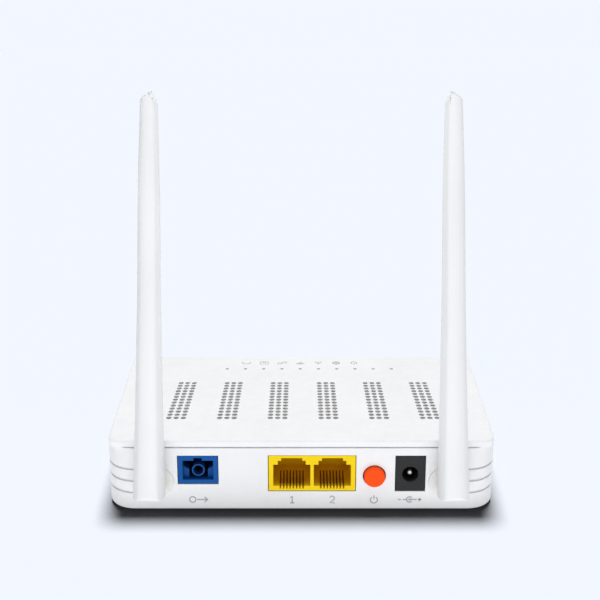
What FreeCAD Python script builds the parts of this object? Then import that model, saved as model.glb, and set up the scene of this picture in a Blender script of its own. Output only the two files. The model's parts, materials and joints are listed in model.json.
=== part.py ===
"""Optical network terminal: a flat two-part case with swivel antennas, its board and its sockets.

Millimetres. Every piece is drawn with the port face at y = 0 (+Y runs into the case), the case's
underside at z = 0 and the case's middle at x = 0. The last Placement of each piece then moves the
whole device so that it stands on its feet, centred on the origin.
"""
import FreeCAD, Part
import math
import os
import re

import Sketcher

SIZES = {
    # Case: wider at the lamp side than at the port side
    "port_side_width": 124.0,
    "lamp_side_width": 135.4,
    "case_depth": 72.8,
    "case_height": 24.2,
    "foot_height": 1.0,
    "case_wall": 2.0,
    "tub_corner": 9.5,
    "tub_bottom_round": 0.6,
    "tub_flank": 0.9,
    "cover_rim": 2.2,
    "cover_corner": 3.0,
    "cover_plate": 1.5,
    "cover_top_round": 0.6,
    "seam_gap": 0.5,
    "lip_inset": 0.9,
    "lip_height": 0.9,
    "lip_clearance": 0.15,
    # Decorative grooves round the tub's corners
    "groove_width": 0.8,
    "groove_depth": 0.6,
    "groove_low": 6.0,
    "groove_spacing": 4.1,
    "groove_inset": 11.0,
    # Vent holes in the cover, in bars of three
    "dot_radius": 0.95,
    "dot_pitch": 2.46,
    "dot_first": 16.5,
    "vent_middle": 0.65,
    # Status lamps
    "lamp_pitch": 7.14,
    "lamp_inset": 12.8,
    "lamp_middle": 3.25,
    "lamp_hole_radius": 0.7,
    "lamp_hole_clearance": 0.06,
    # Screw posts, their screws and the feet
    "post_inset": 9.0,
    "post_front": 14.0,
    "post_inset_rear": 12.6,
    "post_rear": 12.8,
    "post_radius": 3.8,
    "post_top": 13.5,
    "post_web": 3.0,
    "screw_radius": 1.1,
    "screw_head_radius": 2.3,
    "screw_head_height": 1.6,
    "screw_bite": 6.0,
    "screw_clearance": 0.2,
    "thread_clearance": 0.02,
    "boss_gap": 0.1,
    "boss_radius": 2.8,
    "foot_radius": 4.4,
    "foot_recess": 0.5,
    "foot_clearance": 0.2,
    "foot_inset": 18.0,
    "foot_front": 11.0,
    "foot_rear": 10.8,
    # Openings in the tub's floor
    "vent_width": 1.8,
    "vent_length": 20.0,
    "vent_pitch": 4.0,
    "vent_start": 22.0,
    "keyhole_side": 40.0,
    "keyhole_row": 34.0,
    "keyhole_radius": 3.6,
    "keyhole_slot": 3.8,
    "keyhole_travel": 8.0,
    "label_width": 46.0,
    "label_depth": 17.0,
    "label_thickness": 0.15,
    "label_row": 57.0,
    # Circuit board
    "board_top": 6.6,
    "board_thickness": 1.6,
    "board_gap": 0.6,
    "board_margin": 2.5,
    "board_nose_depth": 7.5,
    "board_rear_gap": 4.2,
    "standoff_radius": 2.8,
    "board_screw_radius": 1.0,
    "board_screw_head": 2.2,
    "board_screw_head_height": 1.3,
    "board_screw_length": 4.8,
    # Sockets
    "port_recess": 0.15,
    "port_clearance": 0.25,
    "fibre_x": -33.3,
    "fibre_width": 12.8,
    "fibre_height": 9.6,
    "fibre_lift": 2.5,
    "fibre_length": 14.0,
    "fibre_mouth_width": 9.9,
    "fibre_mouth_height": 6.7,
    "fibre_floor": 1.3,
    "fibre_mouth_depth": 11.0,
    "fibre_guide_width": 1.9,
    "fibre_guide_height": 4.2,
    "fibre_guide_start": 1.6,
    "fibre_guide_length": 6.4,
    "fibre_guide_slope": -32.0,
    "fibre_key_width": 2.7,
    "fibre_key_height": 0.9,
    "fibre_axis_drop": 0.5,
    "barrel_radius": 2.1,
    "barrel_start": 1.2,
    "sleeve_radius": 1.65,
    "sleeve_bore": 1.26,
    "sleeve_start": 3.0,
    "lan_right": 17.5,
    "lan_width": 28.0,
    "lan_height": 12.2,
    "lan_length": 21.0,
    "lan_pitch": 13.1,
    "lan_mouth_width": 12.0,
    "lan_mouth_height": 7.5,
    "lan_mouth_low": 1.6,
    "lan_mouth_depth": 14.0,
    "lan_step_width": 9.0,
    "lan_step_height": 1.35,
    "lan_latch_width": 6.8,
    "lan_latch_height": 0.95,
    "lan_slit_width": 0.55,
    "lan_slit_length": 5.5,
    "contact_pitch": 1.05,
    "contact_width": 0.42,
    "contact_thickness": 0.3,
    "contact_length": 5.4,
    "contact_slope": 19.0,
    "jack_right": 39.9,
    "jack_width": 9.4,
    "jack_height": 12.1,
    "jack_length": 14.0,
    "jack_hole_radius": 2.65,
    "jack_hole_depth": 9.6,
    "jack_hole_rise": 5.75,
    "jack_pin_radius": 1.0,
    "jack_pin_start": 0.8,
    # Power switch and its button
    "button_x": 23.6,
    "button_rise": 5.2,
    "button_radius": 3.4,
    "button_clearance": 0.35,
    "button_stands_out": 1.4,
    "button_travel": 1.8,
    "button_edge": 0.5,
    "stem_radius": 1.6,
    "stem_clearance": 0.05,
    "stem_length": 6.6,
    "switch_width": 8.0,
    "switch_length": 10.0,
    "switch_height": 10.0,
    "switch_front_wall": 1.4,
    "switch_bore": 2.4,
    "spring_radius": 1.5,
    "spring_wire": 0.18,
    # Antennas
    "hub_inset": 16.0,
    "hub_z": 9.9,
    "hub_radius": 4.0,
    "hub_clearance": 0.05,
    "hub_bore": 1.5,
    "hub_length": 5.5,
    "flange_lip": 0.8,
    "flange_disc": 0.6,
    "neck_radius": 2.6,
    "flange_height": 1.5,
    "flange_gap": 0.1,
    "clip_lip": 1.2,
    "clip_thickness": 0.8,
    "clip_groove": 0.6,
    "clip_opening": 2.4,
    "washer_thickness": 0.5,
    "washer_gap": 0.1,
    "blade_offset": 2.3,
    "blade_low": 7.1,
    "blade_length": 127.5,
    "blade_back": 3.0,
    "blade_wall": 1.2,
    "blade_cavity_end": 12.0,
    "blade_foot_round": 2.4,
    "tip_spare": 1.0,
    "tip_flat": 0.15,
    "tip_offset": 0.4,
    "tip_outer_drop": 38.0,
    "tip_inner_drop": 56.0,
    "root_width": 10.3,
    "root_thick": 9.0,
    "waist_height": 24.0,
    "waist_width": 8.9,
    "waist_thick": 7.8,
    "middle_height": 66.0,
    "middle_width": 7.2,
    "middle_thick": 6.6,
    "upper_height": 98.0,
    "upper_width": 6.5,
    "upper_thick": 5.6,
    "tip_width": 4.9,
    "tip_thick": 4.2,
    "antenna_lean": 2.2,
    "radiator_width": 3.2,
    "radiator_thickness": 0.8,
    "radiator_low": 27.0,
    "radiator_length": 84.0,
    "coax_radius": 0.65,
    "coax_bend": 5.0,
    "feed_bend": 2.0,
    "coax_gap": 0.4,
    "rf_socket_row": 44.0,
    "rf_socket_size": 3.0,
    "rf_socket_height": 1.2,
}

BLADE_SECTIONS = ("root", "waist", "middle", "upper", "tip")
ANTENNAS = {"left": -1, "right": 1}
LAMPS = 10
VENT_BARS, VENT_COLUMNS, VENT_ROWS, BAR_STEP = 6, 3, 13, 7
CONTACTS = 8
BOARD_SCREWS = (("-20", "12"), ("44.8", "14.5"), ("-44", "(case_depth - 13)"), ("44", "(case_depth - 13)"))
FLARE = "((lamp_side_width - port_side_width) / 2 / case_depth)"
FACE_Y = "(flange_height + blade_back + root_thick / 2 - case_depth) / 2"
TUB_TOP = "(case_height - cover_rim - seam_gap)"
COVER_LOW = "(case_height - cover_rim)"
LAMP_ROW = "(case_depth - lamp_inset)"
LAN_X = "(lan_right - lan_width / 2)"
JACK_X = "(jack_right - jack_width / 2)"
JACK_Z = "(board_top + jack_hole_rise)"
BUTTON_Z = "(board_top + button_rise)"
FIBRE_LOW = "(board_top + fibre_lift)"
FIBRE_MOUTH_LOW = "(board_top + fibre_lift + fibre_floor)"
HUB_X = "(port_side_width / 2 - hub_inset)"
CLIP_RADIUS = "(hub_radius + clip_lip)"
ALONG_Y = FreeCAD.Rotation(FreeCAD.Vector(1, 0, 0), -90)
ALONG_X = FreeCAD.Rotation(FreeCAD.Vector(0, 1, 0), 90)
UPRIGHT = FreeCAD.Rotation()

doc = FreeCAD.newDocument("optical_network_terminal")
sheet = doc.addObject("Spreadsheet::Sheet", "Dims")
finished = []


def fill_sheet():
    """Write every driving dimension to the sheet, with its alias."""
    for row, (name, value) in enumerate(SIZES.items(), start=1):
        sheet.set(f"A{row}", name)
        sheet.set(f"B{row}", str(value))
        sheet.setAlias(f"B{row}", name)
    doc.recompute()


def formula(text):
    """The sheet expression for a text such as 'case_depth / 2'."""
    return re.sub(r"[a-z_]+", lambda m: f"Dims.{m[0]}" if m[0] in SIZES else m[0], text)


def size(text):
    """The present value of such a text."""
    return float(sheet.evalExpression(formula(text)))


def bind(thing, prop, text):
    thing.setExpression(prop, formula(text))


def place(thing, x, y, z, turn=UPRIGHT):
    thing.Placement = FreeCAD.Placement(FreeCAD.Vector(), turn)
    for axis, text in zip("xyz", (x, y, z)):
        bind(thing, f".Placement.Base.{axis}", text)
    return thing


# Building blocks

def box(name, middle_x, low_y, low_z, width, depth, height, turn=UPRIGHT):
    """A block centred on middle_x."""
    block = doc.addObject("Part::Box", name)
    bind(block, "Length", width)
    bind(block, "Width", depth)
    bind(block, "Height", height)
    return place(block, f"({middle_x}) - ({width}) / 2", low_y, low_z, turn)


def rod(name, x, y, z, radius, length, turn=UPRIGHT):
    """A cylinder from a point, along +Z unless it is turned."""
    cylinder = doc.addObject("Part::Cylinder", name)
    bind(cylinder, "Radius", radius)
    bind(cylinder, "Height", length)
    return place(cylinder, x, y, z, turn)


def fuse(name, *parts):
    joined = doc.addObject("Part::MultiFuse", name)
    joined.Shapes = list(parts)
    return joined


def together(name, parts):
    """Separate solids held as one object."""
    group = doc.addObject("Part::Compound", name)
    group.Links = list(parts)
    return group


def cut(name, base, *tools):
    result = doc.addObject("Part::Cut", name)
    result.Base = base
    result.Tool = tools[0] if len(tools) == 1 else fuse(name + "_tools", *tools)
    return result


def common(name, first, second):
    result = doc.addObject("Part::Common", name)
    result.Base, result.Tool = first, second
    return result


def origin_plane(body, role):
    return next(item for item in body.Origin.OriginFeatures if item.Role == role)


def draw(body, name, points, height):
    """A closed outline on the body's XY plane, each corner bound to the sheet."""
    sketch = body.newObject("Sketcher::SketchObject", name)
    sketch.AttachmentSupport = (origin_plane(body, "XY_Plane"), [""])
    sketch.MapMode = "FlatFace"
    bind(sketch, ".AttachmentOffset.Base.z", height)
    corners = [FreeCAD.Vector(size(x), size(y), 0) for x, y in points]
    for start, end in zip(corners, corners[1:] + corners[:1]):
        sketch.addGeometry(Part.LineSegment(start, end), False)
    for line in range(len(points)):
        following = (line + 1) % len(points)
        sketch.addConstraint(Sketcher.Constraint("Coincident", line, 2, following, 1))
    for line, (point, corner) in enumerate(zip(points, corners)):
        for kind, text, value in zip(("DistanceX", "DistanceY"), point, corner):
            number = sketch.addConstraint(Sketcher.Constraint(kind, -1, 1, line, 1, value))
            bind(sketch, f"Constraints[{number}]", text)
    return sketch


def plate(name, points, low, height):
    """A body padded up from an outline."""
    body = doc.addObject("PartDesign::Body", name)
    pad = body.newObject("PartDesign::Pad", name + "_pad")
    pad.Profile = draw(body, name + "_outline", points, low)
    bind(pad, "Length", height)
    doc.recompute()
    return body


def round_edges(body, radius, chosen):
    """Round those edges of the body's last feature that the test picks."""
    feature = body.Tip
    edges = [f"Edge{n}" for n, edge in enumerate(feature.Shape.Edges, start=1) if chosen(edge)]
    fillet = body.newObject("PartDesign::Fillet", body.Name + f"_round{len(body.Group)}")
    fillet.Base = (feature, edges)
    bind(fillet, "Radius", radius)
    doc.recompute()


def is_upright(edge):
    ends = [vertex.Point for vertex in edge.Vertexes]
    return len(ends) == 2 and abs((ends[1] - ends[0]).normalize().z) > 0.99


def lies_at(height):
    """A test for edges that lie flat at a height."""
    level = size(height)
    return lambda edge: all(abs(vertex.Point.z - level) < 1e-4 for vertex in edge.Vertexes)


def half_width(y, inset):
    """Half the case's width at a depth y, inside a wall of that inset."""
    return f"(port_side_width / 2 + {FLARE} * ({y}) - ({inset}) * sqrt(1 + {FLARE} * {FLARE}))"


def slab(name, inset, low, height, corner, flank="0"):
    """The case's plan, drawn in by an inset and padded, with round corners.

    flank is how much wider than that each side stands.
    """
    front, rear = f"({inset})", f"(case_depth - ({inset}))"
    near, far = (f"({half_width(y, inset)} + {flank})" for y in (front, rear))
    points = ((f"-{near}", front), (near, front), (far, rear), (f"-{far}", rear))
    body = plate(name, points, low, height)
    round_edges(body, corner, is_upright)
    return body


def finish(label, part):
    """Name a piece and stand it in the device's frame."""
    holder = together(label, [part]) if part.isDerivedFrom("Part::Primitive") else part
    holder.Label = label
    place(holder, "0", FACE_Y, "foot_height")
    finished.append(holder)
    return holder


def lean_in(holder, sign):
    """Turn a finished antenna piece about its hub, towards the middle of the case."""
    turn = FreeCAD.Rotation(FreeCAD.Vector(0, 1, 0), -sign * size("antenna_lean"))
    hub = FreeCAD.Vector(sign * size(HUB_X), 0, size("hub_z"))
    shift = hub - turn.multVec(hub)
    place(holder, str(shift.x), FACE_Y, f"(foot_height + ({shift.z}))", turn)


def post_places():
    """The four case screws, front pair first."""
    rear = "(case_depth - post_rear)"
    for side in ("-", ""):
        yield f"{side}(port_side_width / 2 - post_inset)", "post_front"
        yield f"{side}(lamp_side_width / 2 - post_inset_rear)", rear


def foot_places():
    for side in ("-", ""):
        for row in ("foot_front", "(case_depth - foot_rear)"):
            yield f"{side}(port_side_width / 2 - foot_inset)", row


# Case

def grooves():
    """Rings round the tub, left only at its corners and sides."""
    cutters = []
    for number in range(3):
        low = f"(groove_low + {number} * groove_spacing - groove_width / 2)"
        outside = slab(f"groove{number}_outside", "-1", low, "groove_width", "(tub_corner + 1)",
                       "tub_flank")
        inside = slab(f"groove{number}_inside", "groove_depth", low, "groove_width",
                      "(tub_corner - groove_depth)", "tub_flank")
        middle = box(f"groove{number}_middle", "0", "-2", low, "(port_side_width - 2 * groove_inset)",
                     "case_depth + 4", "groove_width")
        cutters.append(cut(f"groove{number}", outside, inside, middle))
    return cutters


def wall_openings():
    """The holes in the port face, each the size of what stands in it."""
    def window(name, x, width, low, height):
        return box(name, x, "-1", f"({low} - port_clearance)", f"({width} + 2 * port_clearance)",
                   "case_wall + 2", f"({height} + 2 * port_clearance)")
    holes = [
        window("fibre_window", "fibre_x", "fibre_width", FIBRE_LOW, "fibre_height"),
        window("lan_window", LAN_X, "lan_width", "board_top", "lan_height"),
        window("jack_window", JACK_X, "jack_width", "board_top", "jack_height"),
        rod("button_window", "button_x", "-1", BUTTON_Z, "(button_radius + button_clearance)",
            "case_wall + 2", ALONG_Y),
    ]
    for side, sign in ANTENNAS.items():
        holes.append(rod(f"hub_window_{side}", f"{sign} * {HUB_X}", "-1", "hub_z",
                         "(hub_radius + hub_clearance)", "case_wall + 2", ALONG_Y))
    return holes


def floor_openings():
    """Vent slots, keyholes, foot recesses and the wells of the case screws."""
    holes = []
    for number in range(-7, 8):
        holes.append(box(f"floor_vent{number + 7}", f"({number} * vent_pitch)", "vent_start", "-1",
                         "vent_width", "vent_length", "case_wall + 2"))
    for side, sign in ANTENNAS.items():
        x = f"({sign} * keyhole_side)"
        holes.append(rod(f"keyhole_{side}", x, "keyhole_row", "-1", "keyhole_radius", "case_wall + 2"))
        holes.append(box(f"keyhole_neck_{side}", x, "keyhole_row", "-1", "keyhole_slot",
                         "keyhole_travel", "case_wall + 2"))
        holes.append(rod(f"keyhole_end_{side}", x, "(keyhole_row + keyhole_travel)", "-1",
                         "keyhole_slot / 2", "case_wall + 2"))
    for number, (x, y) in enumerate(foot_places()):
        holes.append(rod(f"foot_recess{number}", x, y, "-1", "(foot_radius + foot_clearance)",
                         "(foot_recess + 1)"))
    for number, (x, y) in enumerate(post_places()):
        holes.append(rod(f"screw_well{number}", x, y, "-1", "(screw_head_radius + screw_clearance)",
                         "(post_top - post_web + 1)"))
        holes.append(rod(f"screw_way{number}", x, y, "0", "(screw_radius + screw_clearance)",
                         "(post_top + 1)"))
    for number, (x, y) in enumerate(BOARD_SCREWS):
        holes.append(rod(f"board_pilot{number}", x, y, "(board_top - board_screw_length)",
                         "(board_screw_radius + thread_clearance)", "board_screw_length"))
    return holes


def bottom_case():
    """The lower shell: floor, walls, lip, screw posts and board standoffs."""
    blank = slab("tub_blank", "0", "0", TUB_TOP, "tub_corner", "tub_flank")
    round_edges(blank, "tub_bottom_round", lies_at("0"))
    lip = slab("tub_lip", "lip_inset", f"({TUB_TOP} - 1)", "(lip_height + 1)",
               "(tub_corner - lip_inset)")
    inside = slab("tub_inside", "case_wall", "case_wall", "case_height", "(tub_corner - case_wall)")
    shell = cut("tub_shell", fuse("tub_outside", blank, lip), inside)
    stands = [rod(f"post{number}", x, y, "(case_wall / 2)", "post_radius", "(post_top - case_wall / 2)")
              for number, (x, y) in enumerate(post_places())]
    stands += [rod(f"standoff{number}", x, y, "(case_wall / 2)", "standoff_radius",
                   "(board_top - board_thickness - case_wall / 2)")
               for number, (x, y) in enumerate(BOARD_SCREWS)]
    whole = fuse("tub_with_posts", shell, *stands)
    pierced = cut("tub_pierced", whole, *wall_openings(), *floor_openings())
    finish("bottom_case", cut("bottom_case", pierced, *grooves()))


def top_cover():
    """The upper shell: a plate with a rim, screw bosses, vent holes and lamp holes."""
    blank = slab("cover_blank", "0", COVER_LOW, "cover_rim", "cover_corner")
    round_edges(blank, "cover_top_round", lies_at("case_height"))
    recess = slab("cover_recess", "(lip_inset - lip_clearance)", f"({COVER_LOW} - 1)",
                  "(cover_rim - cover_plate + 1)", "(tub_corner - lip_inset + lip_clearance)")
    rim = cut("cover_rim_shell", blank, recess)
    low = "(post_top + boss_gap)"
    bosses = [rod(f"cover_boss{number}", x, y, low, "boss_radius",
                  f"(case_height - cover_plate / 2 - {low})")
              for number, (x, y) in enumerate(post_places())]
    pilots = [rod(f"cover_pilot{number}", x, y, "post_top", "(screw_radius + thread_clearance)",
                  "(screw_bite + 0.5)") for number, (x, y) in enumerate(post_places())]
    lamps = [rod(f"lamp_hole{number}", lamp_x(number), LAMP_ROW, f"({COVER_LOW} - 1)",
                 "lamp_hole_radius", "(cover_rim + 2)") for number in range(LAMPS)]
    whole = fuse("cover_with_bosses", rim, *bosses)
    holes = together("cover_holes", pilots + lamps + vent_holes())
    finish("top_cover", cut("top_cover", whole, holes))


def lamp_x(number):
    return f"(lamp_middle + {number - (LAMPS - 1) / 2} * lamp_pitch)"


def vent_holes():
    """Six bars of three columns of round holes."""
    middle = ((VENT_BARS - 1) * BAR_STEP + VENT_COLUMNS - 1) / 2
    holes = []
    for bar in range(VENT_BARS):
        for column in range(VENT_COLUMNS):
            x = f"(vent_middle + {bar * BAR_STEP + column - middle} * dot_pitch)"
            for row in range(VENT_ROWS):
                holes.append(rod(f"vent_{bar}_{column}_{row}", x, f"(dot_first + {row} * dot_pitch)",
                                 f"({COVER_LOW} - 1)", "dot_radius", "(cover_rim + 2)"))
    return holes


def case_hardware():
    """Feet, rating label and the screws that close the case."""
    feet = [rod(f"foot{number}", x, y, "-foot_height", "foot_radius", "(foot_height + foot_recess)")
            for number, (x, y) in enumerate(foot_places())]
    finish("rubber_feet", together("rubber_feet", feet))
    finish("rating_label", box("rating_plate", "0", "(label_row - label_depth / 2)",
                               "-label_thickness", "label_width", "label_depth", "label_thickness"))
    seat = "(post_top - post_web)"
    screws = []
    for number, (x, y) in enumerate(post_places()):
        head = rod(f"case_screw_head{number}", x, y, f"({seat} - screw_head_height)",
                   "screw_head_radius", "screw_head_height")
        shank = rod(f"case_screw_shank{number}", x, y, f"({seat} - screw_head_height / 2)",
                    "screw_radius", "(post_web + screw_bite + screw_head_height / 2)")
        screws.append(fuse(f"case_screw{number}", head, shank))
    finish("case_screws", together("case_screws", screws))


# Board

def main_board():
    front = "(case_wall + board_gap)"
    nose = f"({HUB_X} - {CLIP_RADIUS} - 0.4)"
    shoulder = "(case_wall + board_gap + board_nose_depth)"
    side, rear = f"({HUB_X} + board_margin)", "(case_depth - case_wall - board_rear_gap)"
    right = ((nose, front), (nose, shoulder), (side, shoulder), (side, rear))
    left = tuple((f"-{x}", y) for x, y in reversed(right))
    blank = plate("board_blank", right + left, "(board_top - board_thickness)", "board_thickness")
    holes = [rod(f"board_hole{number}", x, y, "0", "(board_screw_radius + screw_clearance)", "board_top + 1")
             for number, (x, y) in enumerate(BOARD_SCREWS)]
    finish("main_board", cut("main_board", blank, *holes))
    screws = []
    for number, (x, y) in enumerate(BOARD_SCREWS):
        head = rod(f"board_screw_head{number}", x, y, "board_top", "board_screw_head",
                   "board_screw_head_height")
        shank = rod(f"board_screw_shank{number}", x, y, "(board_top - board_screw_length)",
                    "board_screw_radius", "(board_screw_length + board_screw_head_height / 2)")
        screws.append(fuse(f"board_screw{number}", head, shank))
    finish("board_screws", together("board_screws", screws))


def chip(name, x, y, width, depth, height, low="board_top"):
    """A flat package on the board, placed by its middle."""
    return box(name, x, f"({y}) - ({depth}) / 2", low, width, depth, height)


def electronics():
    """What stands on the board, apart from the sockets."""
    finish("main_chip", chip("main_package", "-4", "45", "14", "14", "1.2"))
    finish("thermal_pad", chip("thermal_sheet", "-4", "45", "13", "13", "0.6", "board_top + 1.2"))
    heat_sink()
    finish("memory_chip", chip("memory_package", "-26", "46", "8", "12", "1.1"))
    finish("flash_chip", chip("flash_package", "-26", "34", "6", "5", "1.6"))
    finish("crystal", chip("crystal_package", "10", "38", "5", "3.2", "1.2"))
    shield_can()
    transformers = [chip(f"transformer{n}", x, "29", "12", "8", "5.4") for n, x in enumerate(("-5", "12"))]
    finish("lan_transformers", together("lan_transformers", transformers))
    coils = [chip(f"coil{n}", "40", y, "6", "6", "3") for n, y in enumerate(("19", "27"))]
    finish("power_inductors", together("power_inductors", coils))
    cans = [rod(f"capacitor{n}", x, y, "board_top", "3.15", "7.7")
            for n, (x, y) in enumerate((("22.5", "27"), ("30.5", "27"), ("-37", "38")))]
    finish("capacitors", together("capacitors", cans))
    lamps = [chip(f"lamp{n}", lamp_x(n), LAMP_ROW, "1.6", "0.8", "0.7") for n in range(LAMPS)]
    finish("status_lamps", together("status_lamps", lamps))
    light_guide()


def heat_sink():
    low = "(board_top + 1.8)"
    base = chip("sink_base", "-4", "45", "20", "20", "1.6", low)
    fins = [box(f"sink_fin{n}", f"(-4 + {n} * 3.1)", "35", f"({low} + 1)", "1", "20", "5.6")
            for n in range(-3, 4)]
    finish("heat_sink", fuse("heat_sink", base, *fins))


def shield_can():
    outside = chip("shield_outside", "31", "45", "22", "20", "3.2")
    inside = chip("shield_inside", "31", "45", "21.4", "19.4", "2.9", "board_top - 0.01")
    finish("shield_can", cut("shield_can", outside, inside))
    finish("radio_chip", chip("radio_package", "31", "45", "8", "8", "1"))


def light_guide():
    """Clear pipes from the lamps to the cover, held by one bar."""
    low = "(board_top + 1)"
    pipes = [rod(f"light_pipe{n}", lamp_x(n), LAMP_ROW, low, "(lamp_hole_radius - lamp_hole_clearance)",
                 f"(case_height - 0.1 - {low})") for n in range(LAMPS)]
    bar = box("light_bar", "lamp_middle", f"({LAMP_ROW} - 1)", "(case_height - 7)",
              f"({LAMPS} * lamp_pitch)", "2", "2")
    finish("light_guide", fuse("light_guide", bar, *pipes))


# Sockets

def fibre_socket():
    """The receptacle, its alignment sleeve, its clip and the optics behind it."""
    middle_z = f"({FIBRE_MOUTH_LOW} + fibre_mouth_height / 2 - fibre_axis_drop)"
    block = box("receptacle_block", "fibre_x", "port_recess", FIBRE_LOW, "fibre_width",
                "fibre_length", "fibre_height")
    base = box("receptacle_base", "fibre_x", "(case_wall + board_gap + 0.4)", "board_top",
               "(fibre_width - 2)", "9", "(fibre_lift + 1)")
    mouth = box("receptacle_mouth", "fibre_x", "-1", FIBRE_MOUTH_LOW, "fibre_mouth_width",
                "(fibre_mouth_depth + 1)", "fibre_mouth_height")
    key = box("receptacle_key", "fibre_x", "-1", f"({FIBRE_MOUTH_LOW} + fibre_mouth_height - 1)",
              "fibre_key_width", "(fibre_mouth_depth + 1)", "(fibre_key_height + 1)")
    seat = rod("receptacle_seat", "fibre_x", "(fibre_mouth_depth - 1)", middle_z, "sleeve_radius",
               "6", ALONG_Y)
    hollow = cut("receptacle_hollow", fuse("receptacle_whole", block, base), mouth, key, seat)
    guides = [fibre_guide(side) for side in (-1, 1)]
    barrel = rod("receptacle_barrel", "fibre_x", "barrel_start", middle_z, "barrel_radius",
                 "(fibre_mouth_depth - barrel_start + 0.1)", ALONG_Y)
    bore = rod("receptacle_bore", "fibre_x", "(barrel_start - 1)", middle_z, "sleeve_radius",
               "(fibre_mouth_depth + 5)", ALONG_Y)
    whole = fuse("receptacle_full", hollow, barrel, *guides)
    finish("fibre_receptacle", cut("fibre_receptacle", whole, bore))
    tube = rod("sleeve_tube", "fibre_x", "sleeve_start", middle_z, "sleeve_radius",
               "(fibre_length + port_recess - sleeve_start)", ALONG_Y)
    bore = rod("sleeve_hole", "fibre_x", "(sleeve_start - 1)", middle_z, "sleeve_bore",
               "fibre_length", ALONG_Y)
    finish("alignment_sleeve", cut("alignment_sleeve", tube, bore))
    receptacle_clip()
    optical_module(middle_z)


def fibre_guide(side):
    """A rail up one side of the mouth, its top sloping down towards the middle."""
    x = f"(fibre_x + {side} * (fibre_mouth_width - fibre_guide_width) / 2)"
    top = f"({FIBRE_MOUTH_LOW} + fibre_guide_height)"
    rail = box(f"receptacle_guide{side + 1}", x, "fibre_guide_start", f"({FIBRE_MOUTH_LOW} - 0.1)",
               "fibre_guide_width", "fibre_guide_length", "(fibre_guide_height + 0.1)")
    turn = FreeCAD.Rotation(FreeCAD.Vector(0, 1, 0), side * SIZES["fibre_guide_slope"])
    slope = doc.addObject("Part::Box", f"receptacle_slope{side + 1}")
    for prop in ("Length", "Width", "Height"):
        bind(slope, prop, "(3 * fibre_guide_height)")
    slide = turn.multVec(FreeCAD.Vector(0 if side < 0 else -3 * size("fibre_guide_height"), 0, 0))
    outer = f"(fibre_x + {side} * fibre_mouth_width / 2)"
    place(slope, f"({outer} + ({slide.x}))", "0", f"({top} + ({slide.z}))", turn)
    return cut(f"receptacle_rail{side + 1}", rail, slope)


def receptacle_clip():
    """A steel strap over the receptacle, down to the board on both sides."""
    strap = box("clip_outside", "fibre_x", "4", "board_top", "(fibre_width + 0.8)", "5",
                "(fibre_lift + fibre_height + 0.4)")
    hollow = box("clip_inside", "fibre_x", "3", "(board_top - 1)", "fibre_width", "7",
                 "(fibre_lift + fibre_height + 1)")
    finish("receptacle_clip", cut("receptacle_clip", strap, hollow))


def optical_module(middle_z):
    """The transceiver: barrel, housing block and two detector cans."""
    rear = "(fibre_length + port_recess)"
    barrel = rod("optics_barrel", "fibre_x", rear, middle_z, "3", "5", ALONG_Y)
    block = box("optics_block", "fibre_x", f"({rear} + 4)", "board_top", "7.4", "8", f"({middle_z} - 2.3)")
    end_can = rod("optics_end_can", "fibre_x", f"({rear} + 11)", middle_z, "2.8", "5", ALONG_Y)
    side_can = rod("optics_side_can", "fibre_x", f"({rear} + 8)", middle_z, "2.6", "7.4", ALONG_X)
    finish("optical_module", fuse("optical_module", barrel, block, end_can, side_can))


def port_x(port):
    """The middle of one of the two network ports."""
    return f"({LAN_X} + {port - 0.5} * lan_pitch)"


def contact_x(port, number):
    return f"({port_x(port)} + {number - (CONTACTS - 1) / 2} * contact_pitch)"


def lan_socket():
    """A twin housing with stepped mouths, and its sprung contacts."""
    floor = "(board_top + lan_mouth_low)"
    block = box("lan_block", LAN_X, "port_recess", "board_top", "lan_width", "lan_length", "lan_height")
    hollows = []
    for port in range(2):
        x, low = port_x(port), floor
        for step in ("mouth", "step", "latch"):
            height = f"lan_{step}_height"
            hollows.append(box(f"lan_{step}{port}", x, "-1", low, f"lan_{step}_width",
                               "(lan_mouth_depth + 1)", f"({height} + 0.001)"))
            low = f"({low} + {height})"
        for number in range(CONTACTS):
            hollows.append(box(f"lan_slit{port}_{number}", contact_x(port, number), "-1",
                               f"({floor} - 1)", "lan_slit_width", "(lan_slit_length + 1)", "1.1"))
    finish("lan_socket", cut("lan_socket", block, *hollows))
    slope = FreeCAD.Rotation(FreeCAD.Vector(1, 0, 0), SIZES["contact_slope"])
    contacts = [box(f"contact{port}_{number}", contact_x(port, number), "1.4", f"({floor} + 0.06)",
                    "contact_width", "contact_length", "contact_thickness", slope)
                for port in range(2) for number in range(CONTACTS)]
    finish("lan_contacts", together("lan_contacts", contacts))


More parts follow.
